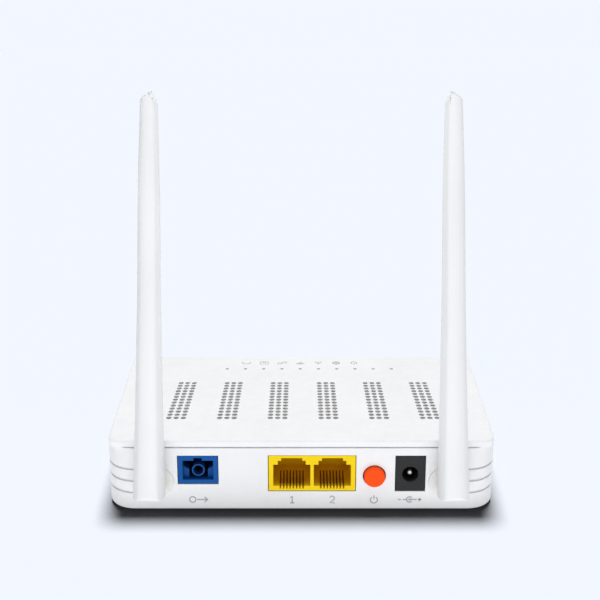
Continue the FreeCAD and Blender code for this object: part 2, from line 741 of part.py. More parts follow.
def power_jack():
    """The black inlet, its centre pin and the leaf that touches a plug's barrel."""
    block = box("jack_block", JACK_X, "port_recess", "board_top", "jack_width", "jack_length",
                "jack_height")
    hole = rod("jack_hole", JACK_X, "-1", JACK_Z, "jack_hole_radius", "(jack_hole_depth + 1)",
               ALONG_Y)
    pin_way = rod("jack_pin_way", JACK_X, "(jack_hole_depth - 1)", JACK_Z, "jack_pin_radius",
                  "jack_length", ALONG_Y)
    leaf_way = box("jack_leaf_way", f"({JACK_X} + jack_hole_radius + 0.25)", "3", f"({JACK_Z} - 1.2)",
                   "0.9", "6", "2.4")
    finish("power_jack", cut("power_jack", block, hole, pin_way, leaf_way))
    shaft = rod("pin_shaft", JACK_X, "(jack_pin_start + jack_pin_radius)", JACK_Z,
                "jack_pin_radius", "(jack_length - jack_pin_start - jack_pin_radius)", ALONG_Y)
    nose = doc.addObject("Part::Sphere", "pin_nose")
    bind(nose, "Radius", "jack_pin_radius")
    place(nose, JACK_X, "(jack_pin_start + jack_pin_radius)", JACK_Z)
    finish("power_jack_pin", fuse("power_jack_pin", shaft, nose))
    finish("power_jack_leaf", box("leaf_strip", f"({JACK_X} + jack_hole_radius + 0.45)", "3.1",
                                  f"({JACK_Z} - 1.1)", "0.3", "5.8", "2.2"))


# Power switch

def power_switch():
    """A push switch on the board, its cap and the spring that returns it."""
    front = "(case_wall + button_travel - 0.2)"
    body = box("switch_block", "button_x", front, "board_top", "switch_width", "switch_length",
               "switch_height")
    way = rod("switch_way", "button_x", f"({front} - 1)", BUTTON_Z, "(stem_radius + stem_clearance)",
              "(switch_front_wall + 2)", ALONG_Y)
    chamber_start = f"({front} + switch_front_wall)"
    chamber_length = "(switch_length - switch_front_wall - 1)"
    chamber = rod("switch_chamber", "button_x", chamber_start, BUTTON_Z, "switch_bore",
                  chamber_length, ALONG_Y)
    finish("power_switch", cut("power_switch", body, way, chamber))
    back = "(case_wall - 0.6)"
    cap = rod("button_disc", "button_x", "-button_stands_out", BUTTON_Z, "button_radius",
              f"(button_stands_out + {back})", ALONG_Y)
    doc.recompute()
    crown = doc.addObject("Part::Fillet", "button_crown")
    crown.Base = cap
    rim = size("button_edge")
    face_edge = next(n for n, edge in enumerate(cap.Shape.Edges, start=1)
                     if abs(edge.CenterOfMass.y + size("button_stands_out")) < 1e-4)
    crown.Edges = [(face_edge, rim, rim)]
    stem = rod("button_stem", "button_x", f"({back} - 0.5)", BUTTON_Z, "stem_radius",
               "(stem_length + 0.5)", ALONG_Y)
    finish("power_button", fuse("power_button", crown, stem))
    switch_spring(f"({back} + stem_length + 0.05)", f"({chamber_start} + {chamber_length} - 0.05)")


def switch_spring(near, far):
    """A coil between the stem's end and the switch's back."""
    wire = size("spring_wire")
    start, end, radius = size(near) + wire, size(far) - wire, size("spring_radius")
    turns = 4
    helix = Part.makeHelix((end - start) / turns, end - start, radius)
    section = Part.Wire(Part.makeCircle(wire, FreeCAD.Vector(radius, 0, 0), FreeCAD.Vector(0, 1, 0)))
    spring = doc.addObject("Part::Feature", "switch_spring")
    coil = Part.Wire(helix.Edges).makePipeShell([section], True, True)
    coil.Placement = FreeCAD.Placement(
        FreeCAD.Vector(size("button_x"), start, size(BUTTON_Z)), ALONG_Y)
    spring.Shape = Part.makeCompound([coil])
    finish("switch_spring", spring)


# Antennas

def ellipse(name, x, section, inset):
    """One level of the antenna's blade, drawn in by the inset."""
    levels = {"root": "0", "tip": "(blade_length + tip_spare)"}
    level = levels.get(section, f"{section}_height")
    curve = doc.addObject("Part::Ellipse", name)
    bind(curve, "MajorRadius", f"{section}_width / 2 - ({inset})")
    bind(curve, "MinorRadius", f"{section}_thick / 2 - ({inset})")
    return place(curve, x, "-(flange_height + blade_back)", f"(blade_low + {level})")


def blade_loft(name, x, inset):
    loft = doc.addObject("Part::Loft", name)
    loft.Sections = [ellipse(f"{name}_{section}", x, section, inset) for section in BLADE_SECTIONS]
    loft.Solid = True
    return loft


def blade(side, sign):
    """The hollow paddle: flat at the back of its foot, and cut to a ridge at its tip."""
    x = f"({sign} * ({HUB_X} + blade_offset))"
    name = f"antenna_{side}_blade"
    back = "-(flange_height + blade_back + root_thick)"
    behind = box(f"{name}_front_half", x, back, "0", "2 * root_width", "(blade_back + root_thick)",
                 "(blade_low + 2 * blade_length)")
    outside = common(f"{name}_outside", blade_loft(f"{name}_loft", x, "0"), behind)
    room = box(f"{name}_room", x, back, "(blade_low + blade_wall)", "2 * root_width",
               "(blade_back + root_thick - blade_wall)",
               "(blade_length - blade_wall - blade_cavity_end)")
    inside = common(f"{name}_inside", blade_loft(f"{name}_core", x, "blade_wall"), room)
    way = rod(f"{name}_feed_way", f"({sign} * {HUB_X})", "-(flange_height + blade_back)", "hub_z",
              "hub_bore", "(blade_back + 1)", ALONG_Y)
    tips = [tip_cutter(f"{name}_tip_{flank}", x, sign, flank) for flank in ("outer", "inner")]
    tips.append(box(f"{name}_tip_top", x, back, "(blade_low + blade_length - tip_flat)", "2 * root_width",
                    "3 * root_thick", "2 * tip_spare"))
    foot = foot_cutter(f"{name}_heel", x)
    lean_in(finish(name, cut(name, outside, inside, way, foot, *tips)), sign)


def tip_cutter(name, x, sign, flank):
    """A block whose lower face slopes down from the ridge to one side."""
    outward = 1 if flank == "outer" else -1
    angle = SIZES[f"tip_{flank}_drop"] * outward * sign
    turn = FreeCAD.Rotation(FreeCAD.Vector(0, 1, 0), angle)
    block = doc.addObject("Part::Box", name)
    for prop in ("Length", "Width", "Height"):
        bind(block, prop, "(2 * root_width)")
    slide = FreeCAD.Vector(0 if outward * sign > 0 else -2 * size("root_width"), 0, 0)
    shift = turn.multVec(slide)
    ridge = f"({x} - {sign} * tip_offset)"
    place(block, f"({ridge} + ({shift.x}))", "-(flange_height + blade_back + root_width)",
          f"(blade_low + blade_length + ({shift.z}))", turn)
    return block


def foot_cutter(name, x):
    """Rounds the blade's lower front edge, as seen from the side."""
    radius = "blade_foot_round"
    front = "-(flange_height + blade_back + root_thick / 2)"
    corner = box(f"{name}_corner", x, f"({front} - 1)", "(blade_low - 1)", "2 * root_width",
                 f"({radius} + 1)", f"({radius} + 1)")
    wheel = rod(f"{name}_wheel", f"({x} - root_width)", f"({front} + {radius})", f"(blade_low + {radius})",
                radius, "2 * root_width", ALONG_X)
    return cut(name, corner, wheel)


def swivel(side, sign):
    """The hub that turns in the case's wall, with its clip and washer."""
    x = f"({sign} * {HUB_X})"
    name = f"antenna_{side}_swivel"
    flange = rod(f"{name}_flange", x, "-(flange_gap + flange_disc)", "hub_z", "(hub_radius + flange_lip)",
                 "flange_disc", ALONG_Y)
    neck = rod(f"{name}_neck", x, "-flange_height", "hub_z", "neck_radius", "flange_height", ALONG_Y)
    shaft = rod(f"{name}_shaft", x, "-(flange_gap + flange_disc / 2)", "hub_z", "hub_radius",
                "(hub_length + flange_gap + flange_disc / 2)", ALONG_Y)
    bore = rod(f"{name}_bore", x, "-(flange_height + 1)", "hub_z", "hub_bore",
               "(hub_length + flange_height + 2)", ALONG_Y)
    clip_low = "(case_wall + washer_thickness + washer_gap)"
    outer = rod(f"{name}_slot_outside", x, clip_low, "hub_z", "(hub_radius + 1)", "clip_thickness",
                ALONG_Y)
    inner = rod(f"{name}_slot_inside", x, clip_low, "hub_z", "(hub_radius - clip_groove)",
                "clip_thickness", ALONG_Y)
    groove = cut(f"{name}_slot", outer, inner)
    lean_in(finish(name, cut(name, fuse(f"{name}_solid", flange, neck, shaft), bore, groove)), sign)
    clip = ring(f"antenna_{side}_clip", x, clip_low, "clip_thickness", CLIP_RADIUS,
                "(hub_radius - clip_groove)", gap="clip_opening")
    lean_in(clip, sign)
    ring(f"antenna_{side}_washer", x, "case_wall", "washer_thickness", CLIP_RADIUS,
         "(hub_radius + 0.2)")


def ring(name, x, y, thickness, outer, inner, gap=None):
    """A flat ring round the hub; a gap makes it a clip that opens upwards."""
    disc = rod(f"{name}_disc", x, y, "hub_z", outer, thickness, ALONG_Y)
    tools = [rod(f"{name}_hole", x, f"({y} - 1)", "hub_z", inner, f"({thickness} + 2)", ALONG_Y)]
    if gap:
        tools.append(box(f"{name}_gap", x, f"({y} - 1)", "hub_z", gap, f"({thickness} + 2)",
                         f"({outer} + 1)"))
    return finish(name, cut(name, disc, *tools))


def bend_edges(before, corner, after, radius):
    """The arc that rounds a corner, as its two ends and the arc's edge."""
    back, forth = (before - corner).normalize(), (after - corner).normalize()
    half_angle = back.getAngle(forth) / 2
    reach = radius / math.tan(half_angle)
    to_middle = radius / math.sin(half_angle) - radius
    into, out_of = corner + back * reach, corner + forth * reach
    middle = corner + (back + forth).normalize() * to_middle
    return into, out_of, Part.Arc(into, middle, out_of).toShape()


def cable(name, points, bend, radius):
    """A round cable of straight runs joined by tangent arcs."""
    corners = [FreeCAD.Vector(*(size(text) for text in point)) for point in points]
    edges, start = [], corners[0]
    for before, corner, after in zip(corners, corners[1:], corners[2:]):
        into, out_of, arc = bend_edges(before, corner, after, size(bend))
        edges += [Part.LineSegment(start, into).toShape(), arc]
        start = out_of
    edges.append(Part.LineSegment(start, corners[-1]).toShape())
    section = Part.Wire(Part.makeCircle(size(radius), corners[0], corners[1] - corners[0]))
    tube = doc.addObject("Part::Feature", name)
    tube.Shape = Part.Wire(edges).makePipeShell([section], True, False)
    return finish(name, tube)


def coaxes(side, sign):
    """The antenna's lead: the part in the paddle, and the part from the hub to the board."""
    hub, paddle = f"({sign} * {HUB_X})", f"({sign} * ({HUB_X} + blade_offset))"
    depth = "-(flange_height + blade_back)"
    feed = ((hub, "(hub_length - coax_gap)", "hub_z"), (hub, depth, "hub_z"),
            (paddle, depth, "radiator_low"))
    lean_in(cable(f"antenna_{side}_feed", feed, "feed_bend", "coax_radius"), sign)
    drop = "(rf_socket_row - 12)"
    plug = "(board_top + rf_socket_height + coax_radius + 0.1)"
    lead = ((hub, "(hub_length + coax_gap)", "hub_z"), (hub, f"({drop} - 6)", "hub_z"),
            (hub, drop, plug), (hub, "(rf_socket_row + 1)", plug))
    cable(f"antenna_{side}_coax", lead, "coax_bend", "coax_radius")
    strip = box(f"radiator_strip_{side}", paddle, f"({depth} - radiator_thickness / 2)",
                "(radiator_low + 1)", "radiator_width", "radiator_thickness", "radiator_length")
    lean_in(finish(f"antenna_{side}_radiator", strip), sign)


def antennas():
    for side, sign in ANTENNAS.items():
        blade(side, sign)
        swivel(side, sign)
        coaxes(side, sign)
    sockets = [chip(f"rf_socket_{side}", f"({sign} * {HUB_X})", "rf_socket_row", "rf_socket_size",
                    "rf_socket_size", "rf_socket_height") for side, sign in ANTENNAS.items()]
    finish("radio_sockets", together("radio_sockets", sockets))


def check_and_write():
    """Stop on any failed object or bad shape, then write one file for each piece."""
    doc.recompute()
    for thing in doc.Objects:
        if {"Invalid", "Error"} & set(thing.State):
            raise RuntimeError(f"{thing.Name} failed: {thing.State}")
    for part in finished:
        if part.Shape.isNull() or not part.Shape.isValid() or not part.Shape.Solids:
            raise RuntimeError(f"{part.Label} has no valid solid")
    os.makedirs("parts", exist_ok=True)
    for part in finished:
        part.Shape.exportStep(f"parts/{part.Label}.step")
        print(part.Label, len(part.Shape.Solids), round(part.Shape.Volume, 1))


fill_sheet()
bottom_case()
top_cover()
case_hardware()
main_board()
electronics()
fibre_socket()
lan_socket()
power_jack()
power_switch()
antennas()
check_and_write()
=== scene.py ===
# %% [markdown]
# # An optical network terminal, dressed for the studio
# The engineering model gives every piece its place and size. This script loads it as a fixed
# frame, gives each piece a finish, and remakes in mesh code the few pieces whose shape needs
# more than the engineering model holds: the antennas' blades, the sprung contacts, the screw
# heads and the printed signs.

# %% Load the frame
import json
import math

import bmesh
import bpy
from mathutils import Matrix, Vector

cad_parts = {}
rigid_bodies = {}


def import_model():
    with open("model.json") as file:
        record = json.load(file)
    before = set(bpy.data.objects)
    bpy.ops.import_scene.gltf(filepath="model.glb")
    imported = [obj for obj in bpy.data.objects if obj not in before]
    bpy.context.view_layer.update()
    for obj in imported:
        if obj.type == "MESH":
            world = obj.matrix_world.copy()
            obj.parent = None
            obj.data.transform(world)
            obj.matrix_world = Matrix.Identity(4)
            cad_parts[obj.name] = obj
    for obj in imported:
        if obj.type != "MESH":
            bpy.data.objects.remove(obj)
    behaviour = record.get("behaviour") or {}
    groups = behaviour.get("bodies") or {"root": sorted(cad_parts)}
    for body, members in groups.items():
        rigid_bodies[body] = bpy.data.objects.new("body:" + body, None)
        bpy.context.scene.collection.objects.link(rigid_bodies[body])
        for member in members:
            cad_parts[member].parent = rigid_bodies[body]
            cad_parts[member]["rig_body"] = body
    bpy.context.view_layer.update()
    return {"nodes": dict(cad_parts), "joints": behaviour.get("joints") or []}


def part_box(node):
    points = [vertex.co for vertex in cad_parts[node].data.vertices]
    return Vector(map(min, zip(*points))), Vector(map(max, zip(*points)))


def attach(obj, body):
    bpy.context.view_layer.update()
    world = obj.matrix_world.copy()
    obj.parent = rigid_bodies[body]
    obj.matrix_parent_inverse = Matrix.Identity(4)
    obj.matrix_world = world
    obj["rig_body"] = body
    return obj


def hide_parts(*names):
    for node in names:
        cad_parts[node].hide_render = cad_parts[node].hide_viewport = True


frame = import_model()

MM = 0.001
nodes = frame["nodes"]
joints = {joint["name"]: joint for joint in frame["joints"]}

# %% [markdown]
# ## The camera
# The device is seen from its port side, from a little above, with a short telephoto lens. The
# camera could be levelled and shifted, or tipped. A small tip with a small shift is chosen: the
# uprights stay nearly parallel, and other views stay centred.

# %% Camera
LENS = 48.92
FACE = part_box("bottom_case")[0].y
CASE_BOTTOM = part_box("bottom_case")[0].z
CAMERA_PLACE = Vector((-0.39 * MM, FACE - 239.97 * MM, CASE_BOTTOM + 146.01 * MM))
CAMERA_TIP = math.radians(90 - 12.3)
CAMERA_SHIFT = -0.12

camera_data = bpy.data.cameras.new("studio_camera")
camera_data.lens = LENS
camera_data.sensor_width = 36
camera_data.shift_y = CAMERA_SHIFT
camera_data.clip_start, camera_data.clip_end = 0.01, 50
camera = bpy.data.objects.new("studio_camera", camera_data)
camera.location = CAMERA_PLACE
camera.rotation_euler = (CAMERA_TIP, 0, 0)
bpy.context.scene.collection.objects.link(camera)
bpy.context.scene.camera = camera
print("camera", [round(v, 3) for v in CAMERA_PLACE], "lens", LENS)

# %% [markdown]
# ## Helpers for node trees
# Every finish below is a tree of shader nodes. Short helpers keep the trees readable: they add
# a node with its settings and inputs, open a group with named sockets, and place it.


# %% Node helpers
def put(tree, kind, inputs=None, **settings):
    """Add a node. Its inputs are plain values, or sockets that are linked in."""
    node = tree.nodes.new(kind)
    for name, value in settings.items():
        setattr(node, name, value)
    for key, value in (inputs or {}).items():
        if isinstance(value, bpy.types.NodeSocket):
            tree.links.new(value, node.inputs[key])
        else:
            node.inputs[key].default_value = value
    return node


def maths(tree, operation, first, second, clamp=False):
    node = put(tree, "ShaderNodeMath", {0: first, 1: second}, operation=operation, use_clamp=clamp)
    return node.outputs[0]


def open_group(name, inputs, outputs):
    """A group with named float inputs and outputs; gives the tree and the sockets of both ends."""
    tree = bpy.data.node_groups.new(name, "ShaderNodeTree")
    for label, value in inputs.items():
        socket = tree.interface.new_socket(label, in_out="INPUT", socket_type="NodeSocketFloat")
        socket.default_value = value
    for label in outputs:
        tree.interface.new_socket(label, in_out="OUTPUT", socket_type="NodeSocketFloat")
    return tree, put(tree, "NodeGroupInput").outputs, put(tree, "NodeGroupOutput").inputs


def use_group(tree, group, **values):
    """Place a group in a material, with this material's own values."""
    node = put(tree, "ShaderNodeGroup", node_tree=group)
    for label, value in values.items():
        node.inputs[label.replace("_", " ")].default_value = value
    return node.outputs


def noise(tree, vector, scale, detail=2.0, roughness=0.5):
    return put(tree, "ShaderNodeTexNoise", {"Vector": vector, "Scale": scale, "Detail": detail,
                                           "Roughness": roughness}).outputs["Fac"]


def ramp(tree, value, low, high, to_low=0.0, to_high=1.0):
    """Remap a value from low..high to another span, held at its ends."""
    return put(tree, "ShaderNodeMapRange", {"Value": value, "From Min": low, "From Max": high,
                                           "To Min": to_low, "To Max": to_high}).outputs["Result"]


# %% [markdown]
# ## Shared surface effects
# A moulded housing is never perfectly even. The mould is spark-eroded, which leaves a fine
# pebble; the resin flows with a slow change of tone; handling polishes the edges; dust settles
# on what faces up. Each of these is one group, used with other values in each material.


# %% Moulded grain
def make_moulded_grain():
    """Height: the mould's pebble. Tone: the slow drift of the resin. Gloss: polished patches."""
    tree, given, out = open_group("Moulded Grain", {"Pebbles per Metre": 3600.0},
                                  ["Height", "Tone", "Gloss"])
    place = put(tree, "ShaderNodeTexCoord").outputs["Object"]
    pebble = noise(tree, place, given["Pebbles per Metre"], 3.0, 0.62)
    tree.links.new(pebble, out["Height"])
    tree.links.new(noise(tree, place, 38.0, 2.0), out["Tone"])
    tree.links.new(noise(tree, place, 160.0, 4.0, 0.6), out["Gloss"])
    return tree


MOULDED_GRAIN = make_moulded_grain()
print("group", MOULDED_GRAIN.name)


# %% Edge rub
def make_edge_rub():
    """Edge: 1 on sharp outward edges, broken up as handling leaves them."""
    tree, given, out = open_group("Edge Rub", {"Reach": 0.06, "Breakup": 0.5}, ["Edge"])
    place = put(tree, "ShaderNodeTexCoord").outputs["Object"]
    sharpness = put(tree, "ShaderNodeNewGeometry").outputs["Pointiness"]
    high = maths(tree, "ADD", 0.51, given["Reach"])
    edge = ramp(tree, sharpness, 0.51, high)
    patches = ramp(tree, noise(tree, place, 420.0, 4.0, 0.7), 0.35, 0.65)
    kept = maths(tree, "SUBTRACT", 1.0, maths(tree, "MULTIPLY", given["Breakup"], patches))
    tree.links.new(maths(tree, "MULTIPLY", edge, kept, clamp=True), out["Edge"])
    return tree


EDGE_RUB = make_edge_rub()
print("group", EDGE_RUB.name)


# %% Settled dust
def make_settled_dust():
    """Dust: a thin uneven film on what faces up."""
    tree, given, out = open_group("Settled Dust", {"Amount": 0.1}, ["Dust"])
    place = put(tree, "ShaderNodeTexCoord").outputs["Object"]
    normal = put(tree, "ShaderNodeNewGeometry").outputs["Normal"]
    up = put(tree, "ShaderNodeSeparateXYZ", {"Vector": normal}).outputs["Z"]
    film = ramp(tree, noise(tree, place, 90.0, 6.0, 0.68), 0.4, 0.75)
    facing = ramp(tree, up, 0.25, 0.95)
    amount = maths(tree, "MULTIPLY", maths(tree, "MULTIPLY", film, facing), given["Amount"])
    tree.links.new(amount, out["Dust"])
    return tree


SETTLED_DUST = make_settled_dust()
print("group", SETTLED_DUST.name)


# %% Rolled metal
def make_rolled_metal():
    """Height and Tone: the fine parallel marks that rolling leaves along a strip."""
    tree, given, out = open_group("Rolled Metal", {"Marks per Metre": 5200.0, "Stretch": 0.03},
                                  ["Height", "Tone"])
    place = put(tree, "ShaderNodeTexCoord").outputs["Object"]
    parts = put(tree, "ShaderNodeSeparateXYZ", {"Vector": place}).outputs
    along = maths(tree, "MULTIPLY", parts["Y"], given["Stretch"])
    line = put(tree, "ShaderNodeCombineXYZ", {"X": parts["X"], "Y": along, "Z": parts["Z"]}).outputs[0]
    tree.links.new(noise(tree, line, given["Marks per Metre"], 2.0), out["Height"])
    tree.links.new(noise(tree, place, 210.0, 3.0), out["Tone"])
    return tree


ROLLED_METAL = make_rolled_metal()
print("group", ROLLED_METAL.name)


# %% Depth in a socket, for painted shade
def make_socket_shade_depth():
    """Depth: 0 at the port face and 1 at the back of a mouth, along Y in metres; it places painted shade."""
    tree, given, out = open_group("Socket Shade Depth", {"Face": 0.0, "Back": 0.01}, ["Depth"])
    place = put(tree, "ShaderNodeTexCoord").outputs["Object"]
    along = put(tree, "ShaderNodeSeparateXYZ", {"Vector": place}).outputs["Y"]
    tree.links.new(ramp(tree, along, given["Face"], given["Back"]), out["Depth"])
    return tree


SOCKET_SHADE_DEPTH = make_socket_shade_depth()
print("group", SOCKET_SHADE_DEPTH.name)


# %% [markdown]
# ## Moulded plastics
# The housing, antennas, sockets, button and jack are all injection mouldings. They differ in
# colour, in how fine the mould's texture is, and in gloss, so one function makes them all. The
# sockets and the jack get painted shade: their colour darkens towards their backs, where the far
# walls only see each other. The coloured and black parts reflect less than the white ones.


# %% The plastics' function
def linear(red, green, blue):
    """A colour, 0 to 255, as the linear values that shaders use."""
    def channel(value):
        value /= 255
        return value / 12.92 if value <= 0.04045 else ((value + 0.055) / 1.055) ** 2.4
    return (channel(red), channel(green), channel(blue), 1.0)


def blend_colours(tree, share, first, second):
    return put(tree, "ShaderNodeMix", {0: share, 6: first, 7: second}, data_type="RGBA").outputs[2]


def moulding(name, colour, roughness, pebbles=3600.0, relief=0.02, drift=0.02, rub=0.35, dust=0.05,
             deep_shade=None, reach=(0.0, 0.01), shine=0.5):
    """An injection-moulded finish. The colour given for a socket's back is painted shade, over reach along
    Y.
    """
    material = bpy.data.materials.new(name)
    material.use_nodes = True
    tree = material.node_tree
    shader = tree.nodes["Principled BSDF"]
    grain = use_group(tree, MOULDED_GRAIN, Pebbles_per_Metre=pebbles)
    edge = use_group(tree, EDGE_RUB, Breakup=0.6)["Edge"]
    film = use_group(tree, SETTLED_DUST, Amount=dust)["Dust"]
    darker = tuple(c * (1 - 2.5 * drift) for c in colour[:3]) + (1.0,)
    base = blend_colours(tree, ramp(tree, grain["Tone"], 0.3, 0.7), darker, colour)
    # Painted shade: the colour darkens towards the back of a socket.
    if deep_shade is not None:
        depth = use_group(tree, SOCKET_SHADE_DEPTH, Face=reach[0], Back=reach[1])["Depth"]
        base = blend_colours(tree, depth, base, deep_shade)
    rubbed = tuple(min(1.0, c * 1.12 + 0.02) for c in colour[:3]) + (1.0,)
    base = blend_colours(tree, maths(tree, "MULTIPLY", edge, rub), base, rubbed)
    base = blend_colours(tree, film, base, (0.62, 0.6, 0.56, 1.0))
    tree.links.new(base, shader.inputs["Base Color"])
    polish = ramp(tree, grain["Gloss"], 0.25, 0.75, roughness * 0.88, roughness * 1.12)
    worn = maths(tree, "SUBTRACT", polish, maths(tree, "MULTIPLY", edge, 0.08))
    dusty = maths(tree, "ADD", worn, maths(tree, "MULTIPLY", film, 0.5), clamp=True)
    tree.links.new(dusty, shader.inputs["Roughness"])
    bump = put(tree, "ShaderNodeBump", {"Height": grain["Height"], "Strength": relief, "Distance": 0.0002})
    tree.links.new(bump.outputs[0], shader.inputs["Normal"])
    shader.inputs["Specular IOR Level"].default_value = shine
    return material


# %% The plastics
SATIN = 0.12
CASE_WHITE = moulding("case_white", linear(239, 238, 238), 0.42, relief=0.25)
COVER_WHITE = moulding("cover_white", linear(241, 241, 242), 0.38, relief=0.2, dust=0.08)
ANTENNA_WHITE = moulding("antenna_white", linear(236, 236, 235), 0.40, pebbles=2600.0, relief=0.22)
HUB_CREAM = moulding("hub_cream", linear(233, 231, 226), 0.36, relief=0.1)
# The darker back colours of the sockets and the jack below are painted shade.
SOCKET_YELLOW = moulding("socket_yellow", linear(250, 213, 0), 0.34, relief=0.1, rub=0.2,
                         deep_shade=linear(231, 188, 0), reach=(FACE + 0.3 * MM, FACE + 2 * MM), shine=SATIN)
SOCKET_BLUE = moulding("socket_blue", linear(0, 82, 156), 0.36, relief=0.12, rub=0.25,
                       deep_shade=linear(0, 14, 56), reach=(FACE + 0.3 * MM, FACE + 6 * MM), shine=SATIN)
BUTTON_ORANGE = moulding("button_orange", linear(255, 80, 0), 0.3, relief=0.06, rub=0.1, shine=SATIN)
JACK_BLACK = moulding("jack_black", linear(44, 44, 45), 0.42, relief=0.3, rub=0.3,
                      deep_shade=linear(10, 10, 11), reach=(FACE + 1 * MM, FACE + 8 * MM), shine=SATIN)
BLACK_RESIN = moulding("black_resin", linear(40, 40, 42), 0.5, relief=0.3)
FOOT_RUBBER = moulding("foot_rubber", linear(58, 58, 60), 0.78, pebbles=1800.0, relief=0.5, rub=0.1)
PAD_GREY = moulding("pad_grey", linear(126, 136, 146), 0.7, pebbles=900.0, relief=0.6, rub=0.0)
CABLE_BLACK = moulding("cable_black", linear(34, 34, 35), 0.45, pebbles=1500.0, relief=0.3, rub=0.0)
print("plastics:", len(bpy.data.materials), "materials")

# %% [markdown]
# ## Metals
# Inside and in the sockets there are tinned, zinc-plated, nickel-plated and gold-plated strips,
# and an anodised heat sink. All carry the marks of rolling or stamping. Metallic is a constant
# here; only the tone and the roughness change over the surface. The gilt's colour is darkened to
# a brown as painted shade, the tone it has in the shade of a socket.


# %% The metals
def strip_metal(name, colour, roughness, marks=5200.0, relief=0.15, dull=0.12):
    """A rolled or stamped metal with parallel marks and a slow change of lustre."""
    material = bpy.data.materials.new(name)
    material.use_nodes = True
    tree = material.node_tree
    shader = tree.nodes["Principled BSDF"]
    shader.inputs["Metallic"].default_value = 1.0
    rolled = use_group(tree, ROLLED_METAL, Marks_per_Metre=marks)
    edge = use_group(tree, EDGE_RUB, Breakup=0.4)["Edge"]
    darker = tuple(c * 0.82 for c in colour[:3]) + (1.0,)
    base = blend_colours(tree, ramp(tree, rolled["Tone"], 0.3, 0.7), darker, colour)
    bright = tuple(min(1.0, c * 1.15 + 0.03) for c in colour[:3]) + (1.0,)
    base = blend_colours(tree, maths(tree, "MULTIPLY", edge, 0.6), base, bright)
    tree.links.new(base, shader.inputs["Base Color"])
    lustre = ramp(tree, rolled["Tone"], 0.3, 0.7, roughness + dull, roughness)
    tree.links.new(lustre, shader.inputs["Roughness"])
    bump = put(tree, "ShaderNodeBump", {"Height": rolled["Height"], "Strength": relief, "Distance": 0.0001})
    tree.links.new(bump.outputs[0], shader.inputs["Normal"])
    return material


ZINC = strip_metal("zinc_plate", linear(196, 198, 202), 0.3)
TIN = strip_metal("tin_plate", linear(208, 208, 206), 0.26)
NICKEL = strip_metal("nickel_plate", linear(206, 200, 190), 0.2, relief=0.08)
# Painted shade: the gilt is darkened to brown, the tone it has in a socket's shade.
SHADED_GOLD = strip_metal("gold_plate_shaded", linear(104, 64, 30), 0.36, relief=0.08)
ANODISED = strip_metal("anodised_alloy", linear(70, 72, 76), 0.38, relief=0.3)
SPRING_STEEL = strip_metal("spring_steel", linear(168, 168, 170), 0.28)
COPPER = strip_metal("copper_foil", linear(214, 138, 96), 0.3)
print("metals:", [m.name for m in (ZINC, TIN, NICKEL, SHADED_GOLD, ANODISED, SPRING_STEEL, COPPER)])

# %% [markdown]
# ## The circuit board
# A green board shows its solder mask over copper tracks, a shade lighter where copper lies
# below, with rows of tinned vias. The tracks are a brick pattern bent at right angles, and the
# vias a grid of dots; both follow the board's own flat plane.


# %% The board's finish
def board_finish(name):
    material = bpy.data.materials.new(name)
    material.use_nodes = True
    tree = material.node_tree
    shader = tree.nodes["Principled BSDF"]
    place = put(tree, "ShaderNodeTexCoord").outputs["Object"]
    brick = put(tree, "ShaderNodeTexBrick", {"Vector": place, "Scale": 240.0, "Mortar Size": 0.07,
                                             "Mortar Smooth": 0.1, "Brick Width": 1.9, "Row Height": 0.34,
                                             "Color1": linear(16, 92, 52), "Color2": linear(20, 100, 56),
                                             "Mortar": linear(46, 138, 78)})
    cells = put(tree, "ShaderNodeTexVoronoi", {"Vector": place, "Scale": 330.0, "Randomness": 0.55},
                feature="F1")
    via = ramp(tree, cells.outputs["Distance"], 0.13, 0.09)
    sparse = ramp(tree, noise(tree, place, 120.0), 0.52, 0.56)
    via = maths(tree, "MULTIPLY", via, sparse)
    base = blend_colours(tree, via, brick.outputs["Color"], linear(196, 196, 186))
    tree.links.new(base, shader.inputs["Base Color"])
    tree.links.new(maths(tree, "MULTIPLY", via, 0.9), shader.inputs["Metallic"])
    tree.links.new(ramp(tree, via, 0.0, 1.0, 0.32, 0.2), shader.inputs["Roughness"])
    height = maths(tree, "ADD", maths(tree, "MULTIPLY", brick.outputs["Fac"], 0.6), via)
    bump = put(tree, "ShaderNodeBump", {"Height": height, "Strength": 0.4, "Distance": 0.00004})
    tree.links.new(bump.outputs[0], shader.inputs["Normal"])
    shader.inputs["Coat Weight"].default_value = 0.3
    return material


BOARD_GREEN = board_finish("board_green")
print("board finish", BOARD_GREEN.name)

# %% [markdown]
# ## Packages, ceramic, clear plastic and the label
# Chips are moulded in matt black epoxy with a laser-frosted top; the fibre's sleeve is a white
# ceramic with painted shade that turns it dark blue towards the back of its socket; the light
# guide and the lamps are clear; the label is a satin film with plain ruled fields, left blank.


# %% Chip, ceramic and film finishes
def chip_finish(name):
    material = bpy.data.materials.new(name)
    material.use_nodes = True
    tree = material.node_tree
    shader = tree.nodes["Principled BSDF"]
    grain = use_group(tree, MOULDED_GRAIN, Pebbles_per_Metre=7000.0)
    normal = put(tree, "ShaderNodeNewGeometry").outputs["Normal"]
    up = put(tree, "ShaderNodeSeparateXYZ", {"Vector": normal}).outputs["Z"]
    top = ramp(tree, up, 0.8, 0.95)
    frosted = maths(tree, "MULTIPLY", top, ramp(tree, grain["Tone"], 0.2, 0.8, 0.6, 1.0))
    base = blend_colours(tree, frosted, linear(28, 28, 30), linear(52, 52, 55))
    tree.links.new(base, shader.inputs["Base Color"])
    tree.links.new(ramp(tree, frosted, 0.0, 1.0, 0.36, 0.62), shader.inputs["Roughness"])
    bump = put(tree, "ShaderNodeBump", {"Height": grain["Height"], "Strength": 0.4, "Distance": 0.00005})
    tree.links.new(bump.outputs[0], shader.inputs["Normal"])
    return material


